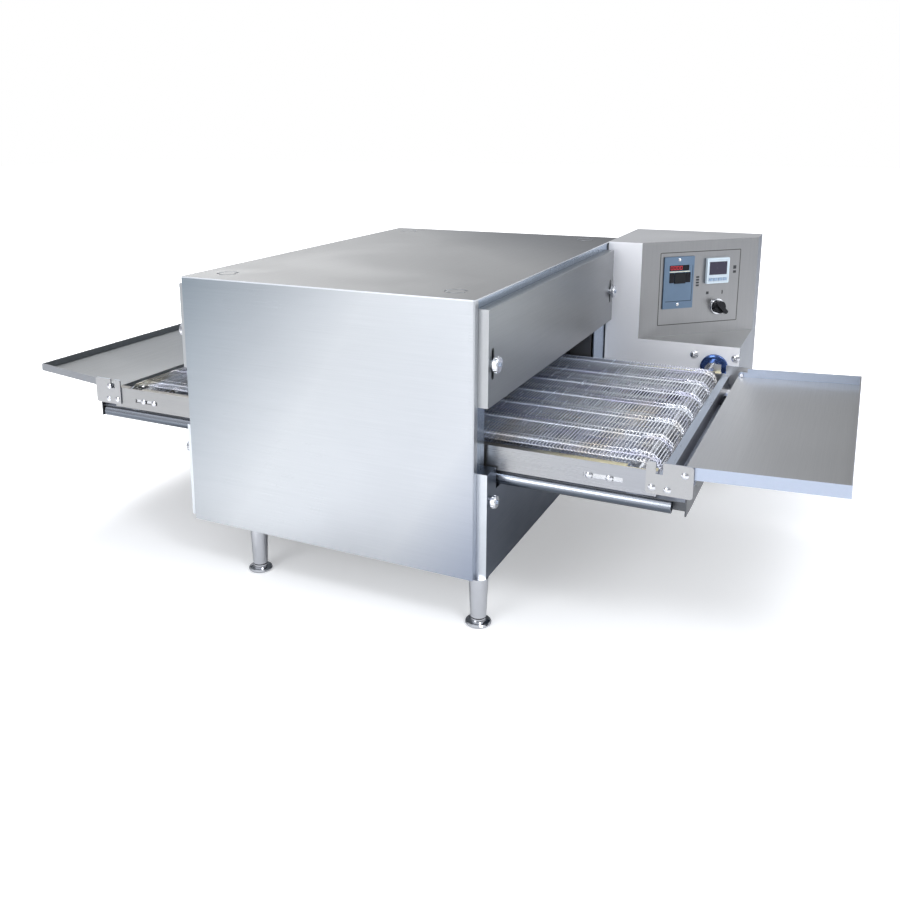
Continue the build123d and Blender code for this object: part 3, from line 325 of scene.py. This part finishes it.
def brushed_steel(name, color, roughness, grain, smudge=0.12, tone=None, painted_face_light=()):
    """Stainless sheet with a fine directional grain, faint smears and uneven polish.

    The painted reflection is given as (direction, low, high, stops); the painted light and shade of
    the faces that turn another way as (direction, start, stop, colour) each.
    """
    steel = Surface(name, color, metallic=0.94, roughness=roughness)
    if tone:
        steel.tone(*tone)
    # Painted light and shade: faces turned each way get their own lit or shaded colour.
    for direction, start, stop, other in painted_face_light:
        steel.blend_color(steel.facing(direction, start, stop), other)
    grey, smear_grey = (0.93, 0.935, 0.94), (0.7, 0.71, 0.72)
    uneven = 0.03                               # roughness more and less, line by line
    line_depth, line_strength = 0.01 * mm, 0.2
    wave_depth, wave_strength = 3 * mm, 0.04    # the sheet isn't quite flat
    fine = steel.noise(along_grain(grain, 12.0, 1500.0))
    bands = steel.noise(along_grain(grain, 1.5, 240.0))
    smears = steel.noise((4.0, 4.0, 4.0), detail=4.0, distortion=0.6)
    waves = steel.noise((1.6, 1.6, 1.6), detail=1.0)
    steel.blend_color(steel.remap(bands, 0.0, 0.35), grey, "MULTIPLY")
    steel.blend_color(steel.remap(fine, 0.0, 0.5), shade(grey, 0.97), "MULTIPLY")
    steel.blend_color(steel.remap(smears, 0.0, smudge, 0.45, 0.75), smear_grey, "MULTIPLY")
    steel.rough(steel.add(steel.remap(fine, roughness - uneven, roughness + uneven),
                          steel.remap(smears, 0.0, 0.05, 0.4, 0.7)))
    steel.bump(fine, line_depth, line_strength)
    steel.bump(waves, wave_depth, wave_strength)
    surfaces[steel.material.name] = steel
    return steel.material


def chrome(name, color, roughness=0.10):
    """Polished or plated metal with fine scratches and a little haze."""
    metal = Surface(name, color, metallic=1.0, roughness=roughness)
    haze = metal.noise((60.0, 60.0, 60.0), detail=3.0)
    scratches = metal.noise((900.0, 900.0, 40.0))
    metal.rough(metal.add(metal.remap(haze, roughness * 0.6, roughness * 1.3),
                          metal.remap(scratches, 0.0, 0.06, 0.5, 0.8)))
    metal.blend_color(metal.remap(haze, 0.0, 0.3), shade(color, 0.82))
    metal.bump(scratches, 0.03 * mm, 0.2)
    return metal.material


def galvanised(name, color):
    """Zinc-coated sheet with patches of grey spangle."""
    zinc = Surface(name, color, metallic=0.9, roughness=0.5)
    cells = zinc.tree.nodes.new("ShaderNodeTexVoronoi")
    cells.inputs["Scale"].default_value = 90.0
    zinc.link(zinc.place, cells.inputs["Vector"])
    spangle = zinc.tree.nodes.new("ShaderNodeSeparateColor")
    zinc.link(cells.outputs["Color"], spangle.inputs["Color"])
    zinc.blend_color(zinc.remap(spangle.outputs["Red"], 0.0, 0.5, 0.0, 1.0), shade(color, 1.3))
    zinc.rough(zinc.remap(spangle.outputs["Green"], 0.38, 0.62, 0.0, 1.0))
    return zinc.material


def moulded(name, color, roughness, **sockets):
    """Moulded plastic with a fine texture and faint uneven gloss."""
    plastic = Surface(name, color, roughness=roughness, **sockets)
    grain = plastic.noise((700.0, 700.0, 700.0))
    cloud = plastic.noise((30.0, 30.0, 30.0), detail=3.0)
    plastic.blend_color(plastic.remap(cloud, 0.0, 0.35), shade(color, 1.25))
    plastic.rough(plastic.add(plastic.remap(grain, roughness - 0.06, roughness + 0.06),
                              plastic.remap(cloud, 0.0, 0.06)))
    plastic.bump(grain, 0.08 * mm, 0.3)
    return plastic.material


def cast_metal(name, color, roughness):
    """Machined or cast metal, slightly pitted."""
    metal = Surface(name, color, metallic=1.0, roughness=roughness)
    pits = metal.noise((350.0, 350.0, 350.0), detail=4.0)
    stain = metal.noise((25.0, 25.0, 25.0), detail=3.0)
    metal.blend_color(metal.remap(stain, 0.0, 0.6), shade(color, 0.6))
    metal.rough(metal.remap(pits, roughness - 0.1, roughness + 0.12))
    metal.bump(pits, 0.2 * mm, 0.3)
    return metal.material


def heat_tinted(name, color):
    """Bright wire that the oven's heat has tinted in places, browner where food goes in, and with a
    painted shade, darker and bluer, inside the tunnel.
    """
    straw, violet, soot = (0.70, 0.58, 0.42), (0.58, 0.56, 0.78), (0.72, 0.73, 0.76)
    brown, tunnel_shade_blue = (0.46, 0.41, 0.29), (0.50, 0.54, 0.64)
    wire = Surface(name, color, metallic=0.5, roughness=0.26)
    patches = wire.noise((16.0, 5.0, 16.0), detail=3.0)
    blush = wire.noise((9.0, 30.0, 9.0))
    streaks = wire.noise((90.0, 12.0, 90.0))
    wire.blend_color(wire.remap(patches, 0.0, 0.75, 0.52, 0.68), straw)
    wire.blend_color(wire.remap(blush, 0.0, 0.7, 0.52, 0.7), violet)
    wire.blend_color(wire.remap(streaks, 0.0, 0.5), soot, "MULTIPLY")
    worn = wire.times(wire.remap(wire.coordinate("X"), 1.0, 0.0, -0.42, -0.2),
                      wire.remap(patches, 0.25, 1.0, 0.4, 0.6))
    wire.blend_color(worn, brown)
    # Painted shade: the wire darker and bluer inside the tunnel, under the baffle.
    tunnel_shade = wire.remap(wire.coordinate("X"), 1.0, 0.0, 0.19, 0.34)
    wire.blend_color(tunnel_shade, tunnel_shade_blue, "MULTIPLY")
    wire.rough(wire.remap(streaks, 0.16, 0.30))
    return wire.material


def wool(name, color):
    """Mineral wool: matted fibres."""
    fibre = Surface(name, color, roughness=0.95)
    mat = fibre.noise((300.0, 300.0, 900.0), detail=5.0, distortion=2.0)
    fibre.blend_color(fibre.remap(mat, 0.0, 0.8), shade(color, 0.6))
    fibre.bump(mat, 2 * mm, 0.8)
    return fibre.material


def glowing(name, color, strength):
    """A lit display segment."""
    lit = Surface(name, shade(color, 0.5), roughness=0.4)
    lit.shader.inputs["Emission Color"].default_value = (*color, 1)
    lit.shader.inputs["Emission Strength"].default_value = strength
    glow = lit.noise((900.0, 900.0, 900.0), detail=1.0)
    lit.blend_color(lit.remap(glow, 0.0, 0.3), shade(color, 0.8))
    return lit.material


def window(name, color):
    """A dark, glossy display window."""
    pane = Surface(name, color, roughness=0.2, Specular_IOR_Level=0.12, Coat_Weight=0.08,
                   Coat_Roughness=0.05)
    haze = pane.noise((80.0, 80.0, 80.0), detail=3.0)
    pane.rough(pane.remap(haze, 0.15, 0.30))
    return pane.material


up, near, far_ward, exit_ward = (0, 0, 1), (0, -1, 0), (0, 1, 0), (1, 0, 0)
square_on = (0.86, 0.98)        # cosines over which a face comes to face a direction squarely


def sheet_finishes():
    """The steel of each sheet part, with painted reflections and painted light and shade as a
    bright studio leaves it, with the nodes it is on.
    """
    # Painted reflections: each sheet's colour drifts across it as the studio's broad reflections
    # do.
    side_painted_reflection = ((0.85, 0, -0.53), -0.49, 0.13,
                 ((0.0, (0.30, 0.345, 0.385)), (0.22, (0.43, 0.46, 0.49)),
                  (0.45, (0.60, 0.62, 0.64)), (0.82, (0.60, 0.62, 0.65)),
                  (1.0, (0.38, 0.42, 0.51))))
    top_painted_reflection = ((0.7, 0.7, 0), -0.52, 0.34,
                ((0.0, (0.27, 0.27, 0.27)), (0.6, (0.37, 0.37, 0.37)),
                 (0.82, (0.20, 0.205, 0.215)), (1.0, (0.12, 0.12, 0.13))))
    face_painted_reflection = (far_ward, -0.449, 0.199,
                 ((0.0, (0.37, 0.39, 0.40)), (0.6, (0.34, 0.35, 0.365)),
                  (1.0, (0.33, 0.34, 0.35))))
    rail_painted_reflection = (exit_ward, 0.15, 0.42, ((0.0, (0.42, 0.42, 0.42)), (1.0, (0.41, 0.42, 0.45))))
    exit_tray_painted_reflection = (exit_ward, 0.47, 0.66,
                      ((0.0, (0.56, 0.56, 0.57)), (1.0, (0.42, 0.42, 0.42))))
    infeed_tray_painted_reflection = (far_ward, -0.41, 0.13,
                        ((0.0, (0.235, 0.24, 0.245)), (1.0, (0.16, 0.17, 0.18))))
    # Painted highlight on the trays' near and exit edges.
    tray_edge_highlight = (0.50, 0.56, 0.68)
    # The colours given per facing direction below are painted light and shade: lighter lit tops and
    # edges, darker shaded end faces and undersides.
    steel_side = brushed_steel("steel_side", (0.60, 0.62, 0.64), 0.30, "x", tone=side_painted_reflection)
    steel_top = brushed_steel("steel_top", (0.40, 0.40, 0.40), 0.34, "y", tone=top_painted_reflection,
                              painted_face_light=((near, 0.3, 0.9, (0.8, 0.82, 0.86)),
                                     (exit_ward, 0.3, 0.9, (0.85, 0.87, 0.9))))
    steel_face = brushed_steel("steel_face", (0.4, 0.4, 0.4), 0.32, "y", tone=face_painted_reflection,
                               painted_face_light=((near, 0.5, 0.9, (0.48, 0.49, 0.50)),))
    steel_plate = brushed_steel("steel_plate", (0.15, 0.175, 0.225), 0.30, "y", smudge=0.8,
                                painted_face_light=((near, 0.5, 0.9, (0.75, 0.78, 0.82)),))
    steel_frame = brushed_steel("steel_frame", (0.52, 0.60, 0.72), 0.24, "z")
    steel_rail = brushed_steel("steel_rail", (0.4, 0.4, 0.4), 0.28, "x", tone=rail_painted_reflection)
    paint_rail_lip_light(surfaces[steel_rail.name])
    steel_end = brushed_steel("steel_end", (0.47, 0.47, 0.475), 0.28, "y",
                              painted_face_light=((up, 0.5, 0.95, (0.52, 0.57, 0.66)),
                                     (exit_ward, 0.5, 0.95, (0.12, 0.13, 0.16))))
    steel_tube = brushed_steel("steel_tube", (0.13, 0.15, 0.18), 0.24, "x",
                               painted_face_light=((up, -0.2, 0.8, (0.58, 0.61, 0.68)),))
    steel_tray = brushed_steel("steel_tray", (0.5, 0.5, 0.5), 0.33, "y", tone=exit_tray_painted_reflection,
                               painted_face_light=((exit_ward, 0.5, 0.95, tray_edge_highlight),
                                      (near, 0.5, 0.95, tray_edge_highlight)))
    steel_in_tray = brushed_steel("steel_in_tray", (0.3, 0.3, 0.3), 0.33, "y",
                                  tone=infeed_tray_painted_reflection,
                                  painted_face_light=((near, 0.5, 0.95, (0.32, 0.33, 0.35)),
                                         (exit_ward, 0.5, 0.95, (0.34, 0.36, 0.38))))
    steel_crumb = brushed_steel("steel_crumb", (0.12, 0.125, 0.135), 0.35, "x", smudge=0.5,
                                painted_face_light=((up, 0.5, 0.95, (0.62, 0.66, 0.76)),))
    steel_box = brushed_steel("steel_box", (0.335, 0.335, 0.34), 0.32, "z",
                              painted_face_light=((exit_ward, *square_on, (0.14, 0.16, 0.20)),))
    paint_box_face_light(surfaces[steel_box.name])
    steel_inner = brushed_steel("steel_inner", (0.30, 0.30, 0.31), 0.40, "x", smudge=0.4)
    return {
        steel_side: ("near_side_panel", "far_side_panel"),
        steel_top: ("top_cover",),
        steel_face: ("exit_baffle", "infeed_baffle"),
        steel_plate: ("lower_plates",),
        steel_frame: ("exit_end_frame", "infeed_end_frame"),
        steel_rail: ("near_rail", "far_rail"),
        steel_end: ("exit_conveyor_end", "infeed_conveyor_end"),
        steel_tube: ("tray_runners",),
        steel_tray: ("exit_tray",),
        steel_in_tray: ("infeed_tray",),
        steel_crumb: ("exit_crumb_tray", "infeed_crumb_tray"),
        steel_box: ("control_box_base", "control_box_hood", "control_box_back_cover",
                    "control_panel_plate"),
        steel_inner: ("chamber_liner", "return_air_wall", "air_fingers"),
    }


def paint_rail_lip_light(rails):
    """Darken the rails' top lip, and paint a warm straw highlight on it outside the exit."""
    # The straw on the lip outside the exit is a painted warm reflection.
    dark, straw = (0.30, 0.29, 0.27), (0.95, 0.87, 0.58)
    lip = rails.times(rails.facing(up, 0.5, 0.95),
                      rails.remap(rails.coordinate("Z"), 0.0, 1.0, 0.24, 0.25))
    outside = rails.remap(rails.coordinate("X"), 0.0, 1.0, 0.26, 0.33)
    rails.blend_color(lip, dark)
    rails.blend_color(rails.times(lip, outside), straw)


def paint_box_face_light(cheeks):
    """Paint light and shade on the control box: a duller, shaded end face, a whitened, lit near
    face and a lighter, lit roof.
    """
    # The white near face and the light grey roof are painted light; the duller end face is painted
    # shade.
    white, roof_painted_light = (0.95, 0.95, 0.98), (0.62, 0.62, 0.63)
    flank = cheeks.facing(exit_ward, *square_on)
    cheeks.link(cheeks.remap(flank, 0.5, 0.15, 0.0, 1.0),
                cheeks.shader.inputs["Specular IOR Level"])
    cheeks.blend_color(cheeks.facing(near, *square_on), white)
    sheen = cheeks.add(cheeks.remap(cheeks.facing(near, *square_on), 0.94, 0.15, 0.0, 1.0),
                       cheeks.remap(flank, 0.0, -0.6, 0.0, 1.0))
    cheeks.link(sheen, cheeks.shader.inputs["Metallic"])
    roof = cheeks.times(cheeks.facing(up, 0.5, 0.95),
                        cheeks.remap(cheeks.coordinate("Z"), 0.0, 1.0, 0.40, 0.45))
    cheeks.blend_color(roof, roof_painted_light)


def part_finishes():
    """The finish of the castings, turned parts and mouldings, with the nodes each is on."""
    nuts = [f"{end}_thumb_nut_{place}" for end in ("exit", "infeed")
            for place in ("near", "far", "low")]
    feet = [f"foot_{end}_{place}" for end in ("exit", "infeed") for place in ("near", "far")]
    keys = [f"temp_key_{place}" for place in (1, 2, 3, 4)]
    return {
        chrome("polished_steel", (0.66, 0.67, 0.70)): ("legs", *feet, "selector_bezel"),
        chrome("plated_steel", (0.78, 0.79, 0.83), 0.14): ("screws", *nuts),
        galvanised("zinc_sheet", (0.42, 0.44, 0.46)):
            ("base_pan", "blower_bulkhead", "belt_supports"),
        cast_metal("shaft_steel", (0.72, 0.73, 0.75), 0.22):
            ("drive_shaft", "idler_shaft", "shaft_bearings"),
        cast_metal("sprocket_steel", (0.80, 0.81, 0.84), 0.30):
            ("drive_sprockets", "idler_sprockets"),
        cast_metal("heater_sheath", (0.16, 0.15, 0.14), 0.5): ("heating_element",),
        cast_metal("impeller_steel", (0.5, 0.5, 0.5), 0.4): ("blower_impeller",),
        cast_metal("gearbox_alloy", (0.42, 0.43, 0.45), 0.45): ("drive_gearmotor",),
        moulded("motor_paint", (0.06, 0.06, 0.07), 0.4): ("blower_motor",),
        wool("mineral_wool", (0.62, 0.57, 0.42)): ("insulation",),
        moulded("controller_blue", (0.115, 0.18, 0.27), 0.4): ("speed_controller",),
        moulded("controller_light", (0.55, 0.63, 0.70), 0.4): ("temp_controller",),
        moulded("dark_plastic", (0.008, 0.009, 0.012), 0.3, Specular_IOR_Level=0.25):
            ("speed_rocker", "selector_knob", "cable_gland"),
        moulded("key_plastic", (0.28, 0.38, 0.52), 0.4): keys,
    }


def paint_nodes():
    """Give every CAD node its own kind of finish."""
    for material, names in {**sheet_finishes(), **part_finishes()}.items():
        for name in names:
            nodes[name].data.materials.clear()
            nodes[name].data.materials.append(material)


# ---------------------------------------------------------------- the wire belt
band_low, band_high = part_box("belt")
turn_radius = 20.5 * mm
turn_inset = 22 * mm                            # from the band's end to the axis it turns about
turn_x = {"infeed": band_low.x + turn_inset, "exit": band_high.x - turn_inset}
loop_z = (band_low.z + band_high.z) / 2
straight = turn_x["exit"] - turn_x["infeed"]
half_turn = math.pi * turn_radius
loop_length = 2 * (straight + half_turn)
wire_radius = 0.9 * mm
wire_count = 370
lane_count = 7


def on_loop(travel, lift):
    """A place on the belt's loop, so far along it and lifted outwards, and the way out."""
    travel %= loop_length
    if travel < straight:
        x, z, out = turn_x["infeed"] + travel, turn_radius, math.pi / 2
    elif travel < straight + half_turn:
        out = math.pi / 2 - (travel - straight) / turn_radius
        x, z = turn_x["exit"] + turn_radius * math.cos(out), turn_radius * math.sin(out)
    elif travel < 2 * straight + half_turn:
        x = turn_x["exit"] - (travel - straight - half_turn)
        z, out = -turn_radius, -math.pi / 2
    else:
        out = -math.pi / 2 - (travel - 2 * straight - half_turn) / turn_radius
        x, z = turn_x["infeed"] + turn_radius * math.cos(out), turn_radius * math.sin(out)
    away = Vector((math.cos(out), 0, math.sin(out)))
    return Vector((x, 0, loop_z + z)) + away * lift, away


def sweep(vertices, faces, spots):
    """Add a wire through spots, each a place and the way out of the belt there."""
    sides = 5
    first = len(vertices)
    for index, (place, away) in enumerate(spots):
        before, after = spots[max(index - 1, 0)][0], spots[min(index + 1, len(spots) - 1)][0]
        run = (after - before).normalized()
        side = run.cross(away).normalized()
        rise = side.cross(run)
        for step in range(sides):
            angle = 2 * math.pi * step / sides
            vertices.append(place + (side * math.cos(angle) + rise * math.sin(angle))
                            * wire_radius)
    for index in range(len(spots) - 1):
        row = first + index * sides
        for step in range(sides):
            after = (step + 1) % sides
            faces.append((row + step, row + after, row + sides + after, row + sides + step))


def cross_wire(start, pitch, lanes):
    """Spots along one wire, which hooks round the wire ahead at both edges and in each lane."""
    curve = max(0.0, on_loop(start, 0)[1].x)
    lift = (0.55 + 1.2 * curve) * mm            # the hooks stand up more where the belt turns
    jitter = random.uniform(-0.35, 0.35) * mm
    overlap, edge_overlap = pitch + 1.3 * mm, pitch + 1.2 * mm
    edge = ((3.0 * mm, 0, 0), (1.0 * mm, 0.1 * pitch, -1.2 * mm),
            (1.2 * mm, 0.7 * pitch, -2.2 * mm), (2.8 * mm, edge_overlap, -1.6 * mm))
    link = ((-11.5 * mm, jitter, 0), (-9.2 * mm, 0.8 * mm, 0.2 * lift),
            (-8.4 * mm, 0.8 * pitch, lift), (-6.6 * mm, overlap, 0.6 * lift),
            (6.6 * mm, overlap, -0.5 * lift), (8.4 * mm, 0.8 * pitch, lift),
            (9.2 * mm, 0.8 * mm, 0.2 * lift), (11.5 * mm, jitter, 0))
    points = [(band_low.y + inset, ahead, rise) for inset, ahead, rise in reversed(edge)]
    points += [(lane + across, ahead, rise) for lane in lanes for across, ahead, rise in link]
    points += [(band_high.y - inset, ahead, rise) for inset, ahead, rise in edge]
    spots = []
    for y, ahead, rise in points:
        place, away = on_loop(start + ahead, rise)
        place.y = y
        spots.append((place, away))
    return spots


def curled_wire(travel, lane):
    """Spots along one loose curl of wire, lying on the belt in a lane."""
    steps = 14
    middle, away = on_loop(travel, random.uniform(0.4, 1.6) * mm)
    forward = away.cross(Vector(far_ward))
    middle.y = lane + random.uniform(-4.0, 4.0) * mm
    wide, long = random.uniform(4.5, 9.0) * mm, random.uniform(2.2, 4.2) * mm
    lean = random.uniform(-0.5, 0.5)
    spots = []
    for step in range(steps + 1):
        angle = 2 * math.pi * step / steps
        across = Vector((0, wide * math.cos(angle), 0))
        ahead = forward * long * math.sin(angle + lean)
        rise = away * math.cos(2 * angle + lean) * 0.8 * mm
        spots.append((middle + across + ahead + rise, away))
    return spots


def weave_belt():
    """Flat-flex belt: wires across it linked in lanes, with curls where it turns at the exit."""
    pitch = loop_length / wire_count
    lane_inset = 7 * mm
    curl_count, curl_pitch, curls_before_turn = 12, 6.2 * mm, 2.5
    sprocket_low, sprocket_high = (corner.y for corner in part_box("drive_sprockets"))
    lane_pitch = (sprocket_high - sprocket_low - 2 * lane_inset) / (lane_count - 1)
    lanes = [sprocket_low + lane_inset + lane * lane_pitch for lane in range(lane_count)]
    vertices, faces = [], []
    for wire in range(wire_count):
        sweep(vertices, faces, cross_wire(wire * pitch, pitch, lanes))
    for lane in lanes:
        for curl in range(curl_count):
            travel = straight + (curl - curls_before_turn) * curl_pitch
            sweep(vertices, faces, curled_wire(travel, lane))
    belt = mesh_object("belt_weave", vertices, faces)
    finish_piece(belt, "casing", heat_tinted("belt_weave", (0.93, 0.95, 1.0)),
                 smooth=True)
    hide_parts("belt")


# ---------------------------------------------------------------- the controls' details
selector = joints["selector_turn"]
selector_run, selector_height = 0.174, 0.338    # where the selector is on the angled face
face_dir = Vector(joints["speed_rocker_tilt"]["axis"])
face_out = -Vector(selector["axis"])
face_origin = Vector(selector["pos_m"]) - face_dir * selector_run - Vector(
    (0, 0, selector_height))


def on_panel(run, height, out):
    """A point on the angled face: along it from its near edge, up from the floor, and proud."""
    return face_origin + face_dir * run + Vector((0, 0, height)) + face_out * out


def panel_rings(centre, size, radius, steps):
    """Rounded rectangles on the angled face, one for each step of (proud, inset)."""
    return [[on_panel(centre[0] + dx, centre[1] + dz, proud)
             for dx, dz in rounded(*size, radius, inset)] for proud, inset in steps]


def panel_slab(name, centre, size, out, radius, material, bevel=0.25 * mm):
    """A thin block with round corners and a softened rim, on the angled face."""
    back, front = out
    rings = panel_rings(centre, size, radius, ((back, 0), (front - bevel, 0), (front, bevel)))
    finish_piece(loft(name, rings), "casing", material)


def panel_frame(name, centre, size, width, out, radius, material):
    """A narrow raised border round a rectangle on the angled face."""
    back, front = out
    rings = panel_rings(centre, size, radius,
                        ((back, 0), (front, 0), (front, width), (back, width)))
    finish_piece(loft(name, rings, caps=False, joined=True), "casing", material)


def detail_controls():
    """Displays, borders and small marks on the two controllers and the plate round them.

    Centres are (along the face, up from the floor) and sizes (wide, tall), all in metres.
    """
    black = window("display_black", (0.012, 0.012, 0.016))
    smoke = window("display_smoke", (0.055, 0.05, 0.075))
    seam = moulded("seam_dark", (0.05, 0.048, 0.045), 0.6)
    ink = moulded("ink_dark", (0.035, 0.035, 0.04), 0.6)
    cream = moulded("cream_print", (0.72, 0.72, 0.58), 0.5)
    pale = moulded("bezel_pale", (0.66, 0.76, 0.84), 0.35)
    blue_line = moulded("speed_edge", (0.03, 0.05, 0.08), 0.4)
    red = glowing("digits_red", (0.75, 0.03, 0.05), 0.35)

    panel_frame("plate_seam", (0.131, 0.379), (0.181, 0.144), 1.5 * mm, (0.0, 0.12 * mm), 2 * mm,
                seam)

    panel_slab("speed_digits_window", (0.082, 0.420), (0.0436, 0.0106), (2.02 * mm, 2.5 * mm),
               1 * mm, black, 0.1 * mm)
    first_digit, digit_pitch, digit_height = 0.0655, 0.0068, 0.4203
    for place in range(4):
        panel_frame(f"speed_digit_{place + 1}",
                    (first_digit + place * digit_pitch, digit_height), (0.0052, 0.0074),
                    1.0 * mm, (2.5 * mm, 2.62 * mm), 0.8 * mm, red)
    panel_slab("speed_pale_line", (0.083, 0.4128), (0.045, 0.0016), (3.0 * mm, 3.12 * mm),
               0.5 * mm, cream, 0.05 * mm)
    for side, run in (("left", 0.0658), ("right", 0.1022)):
        panel_slab(f"speed_switch_{side}", (run, 0.4010), (0.0104, 0.0200),
                   (3.0 * mm, 3.6 * mm), 0.8 * mm, black)
    panel_slab("speed_foot_line", (0.083, 0.3545), (0.058, 0.0014), (3.0 * mm, 3.1 * mm),
               0.5 * mm, blue_line, 0.05 * mm)
    panel_slab("speed_side_line", (0.1115, 0.3895), (0.0012, 0.070), (3.0 * mm, 3.1 * mm),
               0.5 * mm, blue_line, 0.05 * mm)
    panel_frame("speed_rim", (0.082, 0.391), (0.0666, 0.1026), 0.8 * mm, (0.4 * mm, 1.2 * mm),
                1 * mm, blue_line)

    panel_slab("temp_window", (0.167, 0.416), (0.0396, 0.0256), (6.02 * mm, 6.6 * mm),
               1.2 * mm, smoke, 0.15 * mm)
    panel_frame("temp_rim", (0.167, 0.411), (0.0496, 0.0496), 1.6 * mm, (7.0 * mm, 7.35 * mm),
                2 * mm, pale)

    four_bars = [((0.126, height), (0.007, 0.0036)) for height in (0.3995, 0.3940, 0.3885, 0.3830)]
    two_squares = [((0.2095, 0.4150), (0.007, 0.0070)), ((0.2095, 0.4060), (0.007, 0.0050))]
    knob_marks = [((0.150, 0.3665), (0.006, 0.0055)), ((0.184, 0.3665), (0.0026, 0.0075))]
    for place, (centre, size) in enumerate(four_bars + two_squares + knob_marks):
        panel_slab(f"panel_mark_{place + 1}", centre, size, (0.0, 0.08 * mm), 0.6 * mm, ink,
                   0.03 * mm)


def cover_bearing_ring():
    """The bluish bright cap over the drive's bearing ring."""
    shaft_low, shaft_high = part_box("drive_shaft")
    centre = Vector(((shaft_low.x + shaft_high.x) / 2, 0, (shaft_low.z + shaft_high.z) / 2))
    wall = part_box("control_box_base")[0].y
    steps = 48
    angles = [2 * math.pi * step / steps for step in range(steps)]
    profile = ((25.3, 0.2), (25.3, 4.4), (24.4, 5.3), (20.0, 5.6), (14.0, 5.5), (10.8, 5.3),
               (10.8, 4.9))                     # radius and how far proud of the wall, in mm
    rings = [[centre + Vector((radius * mm * math.cos(angle), wall - proud * mm,
                               radius * mm * math.sin(angle))) for angle in angles]
             for radius, proud in profile]
    cap = loft("bearing_cap", rings, caps=False)
    finish_piece(cap, "casing", chrome("blue_steel", (0.09, 0.16, 0.40), 0.14),
                 smooth=True)


def lay_floor():
    """A plain white floor that keeps a soft shadow near the oven and fades into the backdrop."""
    half = 14.0
    low_glow, full_glow = 0.32, 1.0             # what the camera sees of it on its own
    low_until, full_from = 0.8, 2.2             # metres from the origin
    floor = mesh_object("floor", [(-half, -half, 0), (half, -half, 0), (half, half, 0),
                                  (-half, half, 0)], [(0, 1, 2, 3)])
    white = Surface("floor_white", (0.84, 0.84, 0.85), roughness=0.95)
    white.blend_color(white.remap(white.noise((0.8, 0.8, 0.8)), 0.0, 0.2), (0.88, 0.88, 0.88))
    reach = white.tree.nodes.new("ShaderNodeVectorMath")
    reach.operation = "LENGTH"
    white.link(white.place, reach.inputs[0])
    seen = white.tree.nodes.new("ShaderNodeLightPath").outputs["Is Camera Ray"]
    white.shader.inputs["Emission Color"].default_value = (1, 1, 1, 1)
    glow = white.times(
        white.remap(reach.outputs["Value"], low_glow, full_glow, low_until, full_from), seen)
    white.link(glow, white.shader.inputs["Emission Strength"])
    floor.data.materials.append(white.material)


place_camera()
light_studio()
lay_floor()
paint_nodes()
weave_belt()
detail_controls()
cover_bearing_ring()
